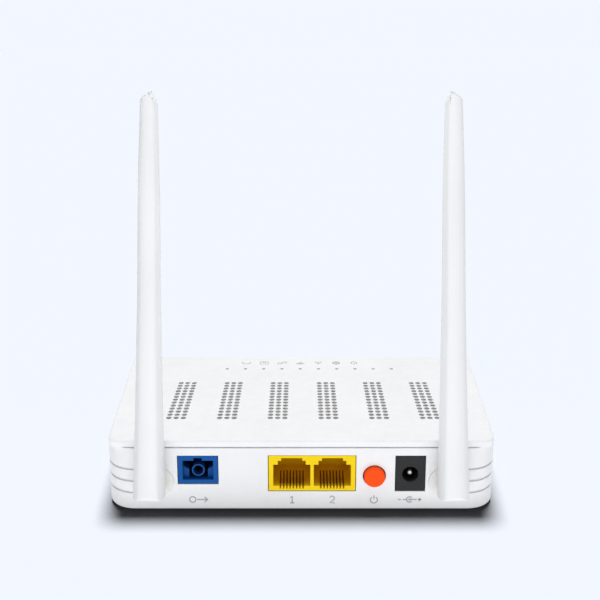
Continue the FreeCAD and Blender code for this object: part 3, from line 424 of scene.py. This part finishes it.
def label_finish(name):
    """Satin film with ruled grey fields."""
    material = bpy.data.materials.new(name)
    material.use_nodes = True
    tree = material.node_tree
    shader = tree.nodes["Principled BSDF"]
    low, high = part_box("rating_label")
    place = put(tree, "ShaderNodeTexCoord").outputs["Object"]
    centred = put(tree, "ShaderNodeMapping", {"Vector": place, "Location": (-low.x, -low.y, 0.0)})
    size = high - low
    rows = put(tree, "ShaderNodeTexBrick",
               {"Vector": centred.outputs[0], "Scale": 1.0, "Mortar Size": 0.00022, "Mortar Smooth": 0.0,
                "Brick Width": size.x / 2, "Row Height": size.y / 4, "Color1": linear(232, 232, 230),
                "Color2": linear(226, 227, 228), "Mortar": linear(150, 152, 156)}, offset=0.0)
    fibres = noise(tree, place, 900.0, 4.0)
    base = blend_colours(tree, ramp(tree, fibres, 0.3, 0.9, 0.0, 0.12), rows.outputs["Color"],
                         linear(190, 190, 188))
    tree.links.new(base, shader.inputs["Base Color"])
    tree.links.new(ramp(tree, fibres, 0.3, 0.7, 0.36, 0.46), shader.inputs["Roughness"])
    bump = put(tree, "ShaderNodeBump", {"Height": fibres, "Strength": 0.15, "Distance": 0.00005})
    tree.links.new(bump.outputs[0], shader.inputs["Normal"])
    return material


def clear_finish(name, colour, transmission, roughness):
    """Clear or milky plastic, with a little ripple from the mould."""
    material = moulding(name, colour, roughness, pebbles=1400.0, relief=0.05, rub=0.0, dust=0.0)
    shader = material.node_tree.nodes["Principled BSDF"]
    shader.inputs["Transmission Weight"].default_value = transmission
    shader.inputs["IOR"].default_value = 1.49
    return material


CHIP_EPOXY = chip_finish("chip_epoxy")
LABEL_FILM = label_finish("label_film")
CLEAR_PLASTIC = clear_finish("clear_plastic", linear(236, 240, 242), 0.6, 0.12)
LAMP_LENS = clear_finish("lamp_lens", linear(206, 210, 212), 0.35, 0.2)
# The sleeve's dark blue back colour is painted shade.
CERAMIC = moulding("sleeve_ceramic", linear(236, 233, 224), 0.2, relief=0.02, rub=0.0,
                   deep_shade=linear(12, 30, 66), reach=(FACE + 1 * MM, FACE + 3 * MM), shine=0.2)
PRINT_GREY = moulding("print_grey", linear(172, 173, 176), 0.5, pebbles=5000.0, relief=0.1, rub=0.0,
                      dust=0.0)
print("finishes in all:", len(bpy.data.materials))

# %% [markdown]
# ## Dressing the frame's pieces
# Most pieces already have the right shape, so they only get their finish. The table below
# names every one of them.

# %% Which piece wears which finish
FINISHES = {
    CASE_WHITE: ["bottom_case"],
    COVER_WHITE: ["top_cover"],
    FOOT_RUBBER: ["rubber_feet", "antenna_left_washer", "antenna_right_washer"],
    LABEL_FILM: ["rating_label"],
    ZINC: ["case_screws", "board_screws", "receptacle_clip"],
    BOARD_GREEN: ["main_board"],
    CHIP_EPOXY: ["main_chip", "memory_chip", "flash_chip", "radio_chip", "lan_transformers"],
    PAD_GREY: ["thermal_pad"],
    ANODISED: ["heat_sink"],
    TIN: ["shield_can", "crystal", "capacitors", "optical_module"],
    BLACK_RESIN: ["power_switch", "power_inductors"],
    LAMP_LENS: ["status_lamps"],
    CLEAR_PLASTIC: ["light_guide"],
    SOCKET_BLUE: ["fibre_receptacle"],
    CERAMIC: ["alignment_sleeve"],
    SOCKET_YELLOW: ["lan_socket"],
    SHADED_GOLD: ["lan_contacts", "radio_sockets"],
    JACK_BLACK: ["power_jack"],
    NICKEL: ["power_jack_pin", "power_jack_leaf"],
    BUTTON_ORANGE: ["power_button"],
    SPRING_STEEL: ["switch_spring", "antenna_left_clip", "antenna_right_clip"],
    ANTENNA_WHITE: ["antenna_left_blade", "antenna_right_blade"],
    HUB_CREAM: ["antenna_left_swivel", "antenna_right_swivel"],
    CABLE_BLACK: [f"antenna_{side}_{part}" for side in ("left", "right") for part in ("feed", "coax")],
    COPPER: ["antenna_left_radiator", "antenna_right_radiator"],
}


def dress(obj, material):
    obj.data.materials.clear()
    obj.data.materials.append(material)


for material, names in FINISHES.items():
    for name in names:
        dress(nodes[name], material)
undressed = sorted(set(nodes) - {name for names in FINISHES.values() for name in names})
print("dressed", len(nodes) - len(undressed), "pieces; without a finish:", undressed)


# %% [markdown]
# ## Finished meshes
# A new piece keeps its object at the origin and its place in its mesh, as the frame's pieces
# do, so that patterns stay put when it moves. It takes a finish and rides on a body.


# %% Putting a mesh into the scene
def finished_piece(name, mesh, material, body, smooth_angle=35):
    """A shown piece from a mesh in metres: faces outwards, smooth but for its real edges."""
    mesh.materials.clear()
    mesh.materials.append(material)
    mesh.set_sharp_from_angle(angle=math.radians(smooth_angle))
    piece = bpy.data.objects.new(name, mesh)
    bpy.context.scene.collection.objects.link(piece)
    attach(piece, body)
    print(name, len(mesh.polygons), "faces, rides on", body)
    return piece


def mesh_from(bm, name):
    """Close off a bmesh: merge doubles, turn the faces outwards, smooth them."""
    bmesh.ops.remove_doubles(bm, verts=bm.verts, dist=1e-7)
    bmesh.ops.recalc_face_normals(bm, faces=bm.faces)
    for face in bm.faces:
        face.smooth = True
    mesh = bpy.data.meshes.new(name)
    bm.to_mesh(mesh)
    bm.free()
    return mesh


# %% [markdown]
# ## The antennas' blades
# Each blade is a slim paddle: an oval that narrows upwards, flat at the back where it lies
# against the case, with a rounded foot and a roof-shaped tip. It could be a subdivided cage,
# but a stack of ovals follows the rule of the shape exactly. The two roof planes are cut
# afterwards, and their edges softened.

# %% Blade sizes
BLADE_LEVELS = (0.0, 24.0, 66.0, 98.0, 127.5)
BLADE_WIDTHS = (10.3, 8.9, 7.2, 6.5, 4.9)
BLADE_DEPTHS = (9.0, 7.8, 6.6, 5.6, 4.2)
BLADE_BACK = 3.0
BLADE_LEAN = 2.2
BLADE_FROM_HUB = Vector((2.3, -4.5, -2.8))
FOOT_ROUND = 2.4
FOOT_EDGE = 0.5
ROOF_OFFSET = 0.4
ROOF_DROPS = {"outer": 38.0, "inner": 56.0}
ROOF_SOFTENING = 0.3
BLADE_SIDES = 56
BLADE_STATIONS = [4, 8, 14, 20, 27, 35, 44, 54, 64, 74, 84, 94, 103, 111, 117, 120.5, 123.5, 126, 127.49]
FOOT_STEPS = 8
ROOF_ONLY = 100
SHARP_TURN = math.radians(28)


def through(levels, values, height):
    """A smooth curve through the sections' sizes, as a drawn spline gives it."""
    count = len(levels)
    span = max(i for i in range(count - 1) if height >= levels[i]) if height > 0 else 0
    slopes = []
    for i in range(count):
        before, after = max(i - 1, 0), min(i + 1, count - 1)
        slopes.append((values[after] - values[before]) / (levels[after] - levels[before]))
    width = levels[span + 1] - levels[span]
    t = (height - levels[span]) / width
    return ((2 * t ** 3 - 3 * t ** 2 + 1) * values[span] + (t ** 3 - 2 * t ** 2 + t) * width * slopes[span]
            + (3 * t ** 2 - 2 * t ** 3) * values[span + 1] + (t ** 3 - t ** 2) * width * slopes[span + 1])


def foot_inset(height):
    """How far the foot's soft lower edge draws in, all round."""
    if height >= FOOT_EDGE:
        return 0.0
    return FOOT_EDGE - math.sqrt(FOOT_EDGE ** 2 - (FOOT_EDGE - height) ** 2)


def front_limit(height, depth):
    """The foot's larger round at the front, as seen from the side."""
    if height >= FOOT_ROUND:
        return -depth
    return -depth + FOOT_ROUND - math.sqrt(FOOT_ROUND ** 2 - (FOOT_ROUND - height) ** 2)


def blade_ring(bm, height):
    """One oval of the stack, cut flat at the back and held behind the foot's round."""
    half_width = through(BLADE_LEVELS, BLADE_WIDTHS, height) / 2 - foot_inset(height)
    half_depth = through(BLADE_LEVELS, BLADE_DEPTHS, height) / 2
    ring = []
    for step in range(BLADE_SIDES):
        angle = 2 * math.pi * step / BLADE_SIDES
        y = -(half_depth - foot_inset(height)) * math.cos(angle)
        y = min(max(y, front_limit(height, half_depth)), BLADE_BACK - foot_inset(height))
        ring.append(bm.verts.new((half_width * math.sin(angle), y, height)))
    return ring


# %% Build the blades
def blade_mesh(name, sign):
    bm = bmesh.new()
    foot = [FOOT_ROUND * (1 - math.cos(math.pi / 2 * step / FOOT_STEPS)) for step in range(FOOT_STEPS + 1)]
    rings = [blade_ring(bm, level) for level in foot + BLADE_STATIONS]
    for low, high in zip(rings, rings[1:]):
        for i in range(BLADE_SIDES):
            j = (i + 1) % BLADE_SIDES
            bm.faces.new((low[i], low[j], high[j], high[i]))
    bm.faces.new(rings[0][::-1])
    bm.faces.new(rings[-1])
    ridge = Vector((-sign * ROOF_OFFSET, 0, BLADE_LEVELS[-1]))
    for flank, drop in ROOF_DROPS.items():
        side = sign if flank == "outer" else -sign
        slope = math.radians(drop)
        normal = Vector((side * math.sin(slope), 0, math.cos(slope)))
        geometry = bm.verts[:] + bm.edges[:] + bm.faces[:]
        cut = bmesh.ops.bisect_plane(bm, geom=geometry, plane_co=ridge, plane_no=normal, clear_outer=True)
        rim = [item for item in cut["geom_cut"] if isinstance(item, bmesh.types.BMEdge)]
        bmesh.ops.contextual_create(bm, geom=rim)
    bmesh.ops.recalc_face_normals(bm, faces=bm.faces)
    sharp = [edge for edge in bm.edges if len(edge.link_faces) == 2
             and edge.calc_face_angle() > SHARP_TURN and min(v.co.z for v in edge.verts) > ROOF_ONLY]
    bmesh.ops.bevel(bm, geom=sharp, offset=ROOF_SOFTENING, segments=3, profile=0.5, affect="EDGES")
    hub = Vector(joints[f"{'left' if sign < 0 else 'right'}_antenna_swing"]["pos_m"])
    shift = Matrix.Translation(Vector((sign * BLADE_FROM_HUB.x, BLADE_FROM_HUB.y, BLADE_FROM_HUB.z)))
    lean = Matrix.Rotation(math.radians(-sign * BLADE_LEAN), 4, "Y")
    bm.transform(Matrix.Translation(hub) @ lean @ Matrix.Scale(MM, 4) @ shift)
    return mesh_from(bm, name)


for side, sign in (("left", -1), ("right", 1)):
    name = f"blade_{side}"
    blade = finished_piece(name, blade_mesh(name, sign), ANTENNA_WHITE, f"{side}_antenna")
    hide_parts(f"antenna_{side}_blade")

# %% [markdown]
# ## Sprung contacts
# Each network port has eight gilt wires. They lie in slots at the mouth's floor, rise into the
# mouth at a slant and bend over at their free ends, so that a plug presses them down. They
# repeat in two rows of eight, which Geometry Nodes does well: one bent wire is swept along a
# curve and placed on a grid of points.

# %% Contact sizes
CONTACT_PITCH = 1.05 * MM
PORT_PITCH = 13.1 * MM
CONTACTS = 8
WIRE_WIDTH = 0.42 * MM
WIRE_THICKNESS = 0.3 * MM


# %% A modifier's plain result
def grown_mesh(tree, settings, name, places=()):
    """Run a Geometry Nodes tree on a mesh of bare points, and give its result as a plain mesh."""
    seed_mesh = bpy.data.meshes.new(name + "_seed")
    seed_mesh.from_pydata([tuple(place) for place in places], [], [])
    seed = bpy.data.objects.new(name + "_seed", seed_mesh)
    bpy.context.scene.collection.objects.link(seed)
    modifier = seed.modifiers.new("grow", "NODES")
    modifier.node_group = tree
    for item in tree.interface.items_tree:
        if item.in_out == "INPUT" and item.name in settings:
            modifier[item.identifier] = settings[item.name]
    evaluated = seed.evaluated_get(bpy.context.evaluated_depsgraph_get())
    mesh = bpy.data.meshes.new_from_object(evaluated)
    mesh.name = name
    seed.modifiers.remove(modifier)
    bpy.data.objects.remove(seed)
    return mesh


def open_growth(name, inputs):
    """A Geometry Nodes tree with named inputs; gives the tree, its input and its output node."""
    tree = bpy.data.node_groups.new(name, "GeometryNodeTree")
    tree.interface.new_socket("Geometry", in_out="INPUT", socket_type="NodeSocketGeometry")
    for label, value in inputs.items():
        kind = {int: "NodeSocketInt", float: "NodeSocketFloat"}.get(type(value), "NodeSocketVector")
        tree.interface.new_socket(label, in_out="INPUT", socket_type=kind).default_value = value
    tree.interface.new_socket("Geometry", in_out="OUTPUT", socket_type="NodeSocketGeometry")
    return tree, put(tree, "NodeGroupInput").outputs, put(tree, "NodeGroupOutput")


def close_growth(tree, instances, material, out):
    """Realize the instances, set their finish and end the tree."""
    real = put(tree, "GeometryNodeRealizeInstances", {"Geometry": instances})
    finish = put(tree, "GeometryNodeSetMaterial", {"Geometry": real.outputs[0], "Material": material})
    tree.links.new(finish.outputs[0], out.inputs[0])


# %% Grow the contacts
def contact_tree():
    defaults = {"Contacts": 8, "Contact Pitch": 0.001, "Port Pitch": 0.013, "Width": 0.0004,
                "Thickness": 0.0003, "Middle": (0.0, 0.0, 0.0), "Foot": (0.0, 0.0, 0.0),
                "Knee": (0.0, 0.004, 0.001), "Crown": (0.0, 0.008, 0.003)}
    tree, given, out = open_growth("Sprung Contacts", defaults)
    bend = put(tree, "GeometryNodeCurveQuadraticBezier", {"Resolution": 10, "Start": given["Foot"],
                                                          "Middle": given["Knee"], "End": given["Crown"]})
    section = put(tree, "GeometryNodeCurvePrimitiveQuadrilateral",
                  {"Width": given["Width"], "Height": given["Thickness"]})
    rounded = put(tree, "GeometryNodeFilletCurve", {"Curve": section.outputs[0], "Radius": 0.00007})
    wire = put(tree, "GeometryNodeCurveToMesh",
               {"Curve": bend.outputs[0], "Profile Curve": rounded.outputs[0], "Fill Caps": True})
    points = None
    for count, pitch in ((given["Contacts"], given["Contact Pitch"]), (2, given["Port Pitch"])):
        step = put(tree, "ShaderNodeCombineXYZ", {"X": pitch}).outputs[0]
        back = maths(tree, "MULTIPLY", maths(tree, "SUBTRACT", count, 1.0), -0.5)
        start = put(tree, "ShaderNodeVectorMath", {0: step, "Scale": back}, operation="SCALE").outputs[0]
        line = put(tree, "GeometryNodeMeshLine", {"Count": count, "Start Location": start, "Offset": step})
        shape = wire.outputs[0] if points is None else points
        points = put(tree, "GeometryNodeInstanceOnPoints", {"Points": line.outputs[0],
                                                            "Instance": shape}).outputs[0]
    placed = put(tree, "GeometryNodeTransform", {"Geometry": points, "Translation": given["Middle"]})
    close_growth(tree, placed.outputs[0], SHADED_GOLD, out)
    return tree


low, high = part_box("lan_contacts")
reach, rise = high.y - low.y, high.z - low.z
contact_mesh = grown_mesh(contact_tree(), {
    "Contacts": CONTACTS, "Contact Pitch": CONTACT_PITCH, "Port Pitch": PORT_PITCH,
    "Width": WIRE_WIDTH, "Thickness": WIRE_THICKNESS,
    "Middle": ((low.x + high.x) / 2, low.y, low.z + WIRE_THICKNESS / 2),
    "Foot": (0.0, 0.0, 0.0), "Knee": (0.0, reach * 0.45, rise * 0.2),
    "Crown": (0.0, reach, rise - WIRE_THICKNESS)}, "lan_wires")
wires = finished_piece("lan_wires", contact_mesh, SHADED_GOLD, "case")
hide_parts("lan_contacts")

# %% [markdown]
# ## Cross-head screws
# Four screws close the case from below, in deep wells, and four more hold the board. Each has
# a slightly tapered head with a cross recess. Geometry Nodes cut the cross from one head, add
# the shank, and set a copy at each place; the places are read from the frame's own screws.


# %% Where the separate solids of a piece stand
def solid_boxes(node):
    """The lowest and highest corners of each separate solid in one of the frame's pieces."""
    bm = bmesh.new()
    bm.from_mesh(nodes[node].data)
    bmesh.ops.remove_doubles(bm, verts=bm.verts, dist=1e-6)
    left, boxes = set(bm.verts), []
    while left:
        found, waiting = [], [left.pop()]
        while waiting:
            vertex = waiting.pop()
            found.append(vertex.co.copy())
            for edge in vertex.link_edges:
                other = edge.other_vert(vertex)
                if other in left:
                    left.remove(other)
                    waiting.append(other)
        boxes.append((Vector(map(min, *found)), Vector(map(max, *found))))
    bm.free()
    return boxes


# %% Grow the screws
HEAD_TAPER = 0.84
RECESS_SPAN = 1.25
SHANK_OVERLAP = 0.001


def screw_tree():
    defaults = {"Head Radius": 0.002, "Head Height": 0.0015, "Shank Radius": 0.001, "Shank Length": 0.006,
                "Recess Width": 0.0006, "Recess Depth": 0.0008, "Turn": (0.0, 0.0, 0.0)}
    tree, given, out = open_growth("Cross Head Screws", defaults)
    narrowed = maths(tree, "MULTIPLY", given["Head Radius"], HEAD_TAPER)
    head = put(tree, "GeometryNodeMeshCone",
               {"Vertices": 28, "Radius Top": narrowed, "Radius Bottom": given["Head Radius"],
                "Depth": given["Head Height"]}).outputs["Mesh"]
    length = maths(tree, "MULTIPLY", given["Head Radius"], RECESS_SPAN)
    depth = maths(tree, "MULTIPLY", given["Recess Depth"], 2.0)
    bars = []
    for x, y in ((length, given["Recess Width"]), (given["Recess Width"], length)):
        size = put(tree, "ShaderNodeCombineXYZ", {"X": x, "Y": y, "Z": depth}).outputs[0]
        bar = put(tree, "GeometryNodeMeshCube", {"Size": size}).outputs["Mesh"]
        lift = put(tree, "ShaderNodeCombineXYZ", {"Z": given["Head Height"]}).outputs[0]
        bars.append(put(tree, "GeometryNodeTransform", {"Geometry": bar, "Translation": lift}).outputs[0])
    for bar in bars:
        cut = put(tree, "GeometryNodeMeshBoolean", {"Mesh 1": head}, operation="DIFFERENCE", solver="EXACT")
        tree.links.new(bar, cut.inputs["Mesh 2"])
        head = cut.outputs["Mesh"]
    shank = put(tree, "GeometryNodeMeshCylinder", {"Vertices": 20, "Radius": given["Shank Radius"],
                                                   "Depth": given["Shank Length"]}).outputs["Mesh"]
    below = maths(tree, "MULTIPLY", given["Shank Length"], SHANK_OVERLAP - 0.5)
    drop = put(tree, "ShaderNodeCombineXYZ", {"Z": below}).outputs[0]
    shank = put(tree, "GeometryNodeTransform", {"Geometry": shank, "Translation": drop}).outputs[0]
    whole = put(tree, "GeometryNodeJoinGeometry")
    tree.links.new(head, whole.inputs[0])
    tree.links.new(shank, whole.inputs[0])
    set_down = put(tree, "GeometryNodeInstanceOnPoints", {"Points": given["Geometry"],
                                                          "Instance": whole.outputs[0]})
    spin = put(tree, "FunctionNodeEulerToRotation", {0: given["Turn"]}).outputs[0]
    tree.links.new(spin, set_down.inputs["Rotation"])
    close_growth(tree, set_down.outputs[0], ZINC, out)
    return tree


# Head radius, head height, shank radius, and the turn about X that points the head down.
SCREW_KINDS = {"case_screws": (2.3 * MM, 1.6 * MM, 1.1 * MM, math.pi),
               "board_screws": (2.2 * MM, 1.3 * MM, 1.0 * MM, 0.0)}
SCREWS = screw_tree()
for node, (head_radius, head_height, shank_radius, turn) in SCREW_KINDS.items():
    seats, lengths = [], []
    for low, high in solid_boxes(node):
        seat_z = low.z + head_height if turn else high.z - head_height
        seats.append(((low.x + high.x) / 2, (low.y + high.y) / 2, seat_z))
        lengths.append(high.z - low.z - head_height)
    mesh = grown_mesh(SCREWS, {"Head Radius": head_radius, "Head Height": head_height,
                               "Shank Radius": shank_radius, "Shank Length": min(lengths),
                               "Turn": (turn, 0.0, 0.0)}, f"cross_head_{node}", seats)
    screws = finished_piece(f"cross_head_{node}", mesh, ZINC, "case")
    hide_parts(node)

# %% [markdown]
# ## Printed signs
# The sockets and lamps carry small printed signs in pale grey ink. Here they are plain
# pictograms and numbers, drawn as strokes: each stroke is a ribbon a hair's breadth thick, so
# it stands on the plastic as ink does and casts no visible edge.


# %% Strokes
INK = 0.03
STROKE = 0.34
SIGN_SCALE = 1.2 * MM


def arc(x, y, radius, start, end, steps=14):
    """Points along an arc, in degrees."""
    turns = [math.radians(start + (end - start) * i / steps) for i in range(steps + 1)]
    return [(x + radius * math.cos(a), y + radius * math.sin(a)) for a in turns]


def ribbon(bm, points, width):
    """A flat stroke through points, with square ends, as a thin closed slab."""
    path = [Vector((x, y)) for x, y in points]
    closed = (path[0] - path[-1]).length < 1e-6
    edges = []
    for i, point in enumerate(path):
        before = path[i - 1] if i else (path[-2] if closed else point)
        after = path[i + 1] if i + 1 < len(path) else (path[1] if closed else point)
        ahead = (after - before).normalized()
        side = Vector((-ahead.y, ahead.x)) * width / 2
        edges.append((point + side, point - side))
    rows = [[bm.verts.new((p.x, p.y, z)) for pair in edges for p in pair] for z in (0.0, INK)]
    bottom, top = rows
    for i in range(len(path) - 1):
        a, b, c, d = 2 * i, 2 * i + 1, 2 * i + 3, 2 * i + 2
        bm.faces.new((top[a], top[b], top[c], top[d]))
        bm.faces.new((bottom[d], bottom[c], bottom[b], bottom[a]))
        bm.faces.new((bottom[a], bottom[d], top[d], top[a]))
        bm.faces.new((bottom[c], bottom[b], top[b], top[c]))
    if not closed:
        last = 2 * len(path) - 2
        bm.faces.new((bottom[0], top[0], top[1], bottom[1]))
        bm.faces.new((bottom[last + 1], top[last + 1], top[last], bottom[last]))


# %% The signs, in millimetres about their own middles
SIGNS = {
    "light": [arc(-1.6, 0, 0.85, 0, 360), [(-0.4, 0), (2.4, 0)], [(1.6, 0.75), (2.45, 0), (1.6, -0.75)]],
    "one": [[(-0.45, 0.55), (0.1, 1.0), (0.1, -1.0)], [(-0.45, -1.0), (0.65, -1.0)]],
    "two": [arc(0, 0.4, 0.6, 160, -35, 10) + [(-0.65, -1.0), (0.7, -1.0)]],
    "power": [arc(0, -0.1, 0.95, 125, 415, 20), [(0, 0.15), (0, 1.2)]],
    "polarity": [arc(0, 0, 0.8, 40, 320, 20), arc(0, 0, 0.2, 0, 360, 8), [(0.2, 0), (1.9, 0)],
                 [(-0.8, 0), (-1.9, 0)], [(2.2, 0), (3.2, 0)], [(2.7, 0.5), (2.7, -0.5)],
                 [(-3.2, 0), (-2.3, 0)]],
    "handset": [arc(0, -0.6, 1.4, 25, 155, 12), [(-1.5, -0.1), (-1.2, -0.6)], [(1.5, -0.1), (1.2, -0.6)]],
    "socket": [[(-1.3, -1.0), (-1.3, 1.0), (1.3, 1.0), (1.3, -1.0), (-1.3, -1.0)],
               [(-0.4, -1.0), (-0.4, -0.3), (0.4, -0.3), (0.4, -1.0)]],
    "twin": [[(-1.4, -1.0), (-1.4, 0.2), (-0.2, 0.2), (-0.2, -1.0), (-1.4, -1.0)],
             [(0.2, -0.2), (0.2, 1.0), (1.4, 1.0), (1.4, -0.2), (0.2, -0.2)]],
    "waves": [arc(0, -0.9, 0.6, 45, 135, 6), arc(0, -0.9, 1.25, 45, 135, 8), arc(0, -0.9, 1.9, 45, 135, 10)],
    "alert": [[(-1.2, -0.9), (0, 1.1), (1.2, -0.9), (-1.2, -0.9)], [(0, 0.4), (0, -0.4)]],
    "globe": [arc(0, 0, 1.1, 0, 360), [(-1.1, 0), (1.1, 0)], [(0, -1.1), (0, 1.1)]],
}


def sign_mesh(name, placings):
    """Signs in a row, each (sign, place): place turns the sign's plane into the world."""
    bm = bmesh.new()
    for sign, place in placings:
        own = bmesh.new()
        for points in SIGNS[sign]:
            ribbon(own, points, STROKE)
        own.transform(place)
        piece = bpy.data.meshes.new(sign)
        own.to_mesh(piece)
        own.free()
        bm.from_mesh(piece)
    return mesh_from(bm, name)


# %% Print the port signs
CAPTION_RISE = 4.45 * MM


def on_port_face(x):
    """A frame standing on the port face below a socket: right is +X, up is +Z."""
    stand = Matrix.Rotation(math.radians(90), 4, "X")
    return Matrix.Translation((x, FACE, CAPTION_RISE)) @ stand @ Matrix.Scale(SIGN_SCALE, 4)


def middle_x(node):
    low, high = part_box(node)
    return (low.x + high.x) / 2


lan_x = middle_x("lan_socket")
port_signs = [("light", middle_x("fibre_receptacle")), ("one", lan_x - PORT_PITCH / 2),
              ("two", lan_x + PORT_PITCH / 2), ("power", middle_x("power_button")),
              ("polarity", middle_x("power_jack"))]
finished_piece("port_signs", sign_mesh("port_signs", [(sign, on_port_face(x)) for sign, x in port_signs]),
               PRINT_GREY, "case")

# %% Print the lamp signs
LAMP_PITCH = 7.14 * MM
LAMP_CAPTION_BACK = 6.1 * MM
lamp_low, lamp_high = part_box("status_lamps")
cover_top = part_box("top_cover")[1].z
lamp_middle = (lamp_low + lamp_high) / 2


def on_cover(number):
    """A frame lying on the cover behind one lamp, read from the lamp side."""
    x = lamp_middle.x + (number - 4.5) * LAMP_PITCH
    turn = Matrix.Rotation(math.radians(180), 4, "Z")
    place = Matrix.Translation((x, lamp_middle.y + LAMP_CAPTION_BACK, cover_top))
    return place @ turn @ Matrix.Scale(SIGN_SCALE, 4)


lamp_signs = ["handset", "socket", "twin", "waves", "alert", "globe", "power"]
finished_piece("lamp_signs", sign_mesh("lamp_signs", [(sign, on_cover(number)) for number, sign
                                                      in enumerate(lamp_signs, start=1)]),
               PRINT_GREY, "case")

# %% [markdown]
# ## Light and floor
# The device stands on a pale seamless floor that runs on into the backdrop. A broad lamp from
# behind lights the floor, so the case leaves a dark line of shade in front of it. Soft lamps
# for the object alone keep its port face as bright as its cover, and one more for each antenna
# comes from the middle, so that each blade fades towards its outer side. Linking a lamp to
# what it lights does what flags and screens do in a studio.

# %% Lamps
BACKDROP = linear(242, 247, 255)
SKY_GLOW = 0.3
FLOOR_LAMP = 40.0
FLOOR_LAMP_RISE = 74


def gathered(name, pieces):
    """A collection of pieces for a lamp to light, or to be shaded by."""
    group = bpy.data.collections.new(name)
    for piece in pieces:
        group.objects.link(piece)
    return group


def sun(name, energy, softness, elevation, azimuth, lit, shaded_by=None):
    """A distant lamp. Azimuth 0 shines from the port side, 90 from +X and 180 from behind."""
    data = bpy.data.lights.new(name, "SUN")
    data.energy = energy
    data.angle = math.radians(softness)
    lamp = bpy.data.objects.new(name, data)
    lamp.rotation_euler = (math.radians(90 - elevation), 0, math.radians(azimuth))
    lamp.light_linking.receiver_collection = lit
    if shaded_by is not None:
        lamp.light_linking.blocker_collection = shaded_by
    bpy.context.scene.collection.objects.link(lamp)
    return lamp


# %% Floor
FLOOR_HALF = 60.0

floor_mesh = bpy.data.meshes.new("studio_floor")
floor_mesh.from_pydata([(-FLOOR_HALF, -FLOOR_HALF, 0), (FLOOR_HALF, -FLOOR_HALF, 0),
                        (FLOOR_HALF, FLOOR_HALF, 0), (-FLOOR_HALF, FLOOR_HALF, 0)], [], [(0, 1, 2, 3)])
floor = bpy.data.objects.new("studio_floor", floor_mesh)
bpy.context.scene.collection.objects.link(floor)
floor_light = FLOOR_LAMP * math.sin(math.radians(FLOOR_LAMP_RISE)) / math.pi + SKY_GLOW
floor_paint = bpy.data.materials.new("studio_floor")
floor_paint.use_nodes = True
floor_shader = floor_paint.node_tree.nodes["Principled BSDF"]
floor_shader.inputs["Base Color"].default_value = tuple(c / floor_light for c in BACKDROP[:3]) + (1.0,)
floor_shader.inputs["Roughness"].default_value = 1.0
floor_shader.inputs["Specular IOR Level"].default_value = 0.0
dress(floor, floor_paint)
print("floor reflects", round(1 / floor_light, 3))

# %% Sky
world = bpy.data.worlds.new("studio")
world.use_nodes = True
sky = world.node_tree
sky.nodes.clear()
seen = put(sky, "ShaderNodeBackground", {"Color": BACKDROP, "Strength": 1.0})
glow = put(sky, "ShaderNodeBackground", {"Color": (1.0, 1.0, 1.0, 1.0), "Strength": SKY_GLOW})
path = put(sky, "ShaderNodeLightPath")
mix = put(sky, "ShaderNodeMixShader",
          {0: path.outputs["Is Diffuse Ray"], 1: seen.outputs[0], 2: glow.outputs[0]})
put(sky, "ShaderNodeOutputWorld", {"Surface": mix.outputs[0]})
bpy.context.scene.world = world
bpy.context.scene.view_settings.view_transform = "Standard"

# %% Light the scene
shown = [piece for piece in bpy.context.scene.objects if piece.type == "MESH" and piece is not floor]
antennas = {side: [piece for piece in shown if piece.get("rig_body") == f"{side}_antenna"]
            for side in ("left", "right")}
body_pieces = [piece for piece in shown if piece not in antennas["left"] + antennas["right"]]
whole_device = gathered("whole_device", shown)
sun("floor_lamp", FLOOR_LAMP, 22, FLOOR_LAMP_RISE, 180, gathered("floor_only", [floor]),
    gathered("body_only", body_pieces))
sun("front_lamp", 1.75, 90, -25, 0, whole_device, whole_device)
sun("top_lamp", 2.2, 60, 80, 180, whole_device)
for side, azimuth in (("left", 88), ("right", -88)):
    sun(f"{side}_blade_lamp", 0.8, 60, 15, azimuth, gathered(f"{side}_antenna_only", antennas[side]))
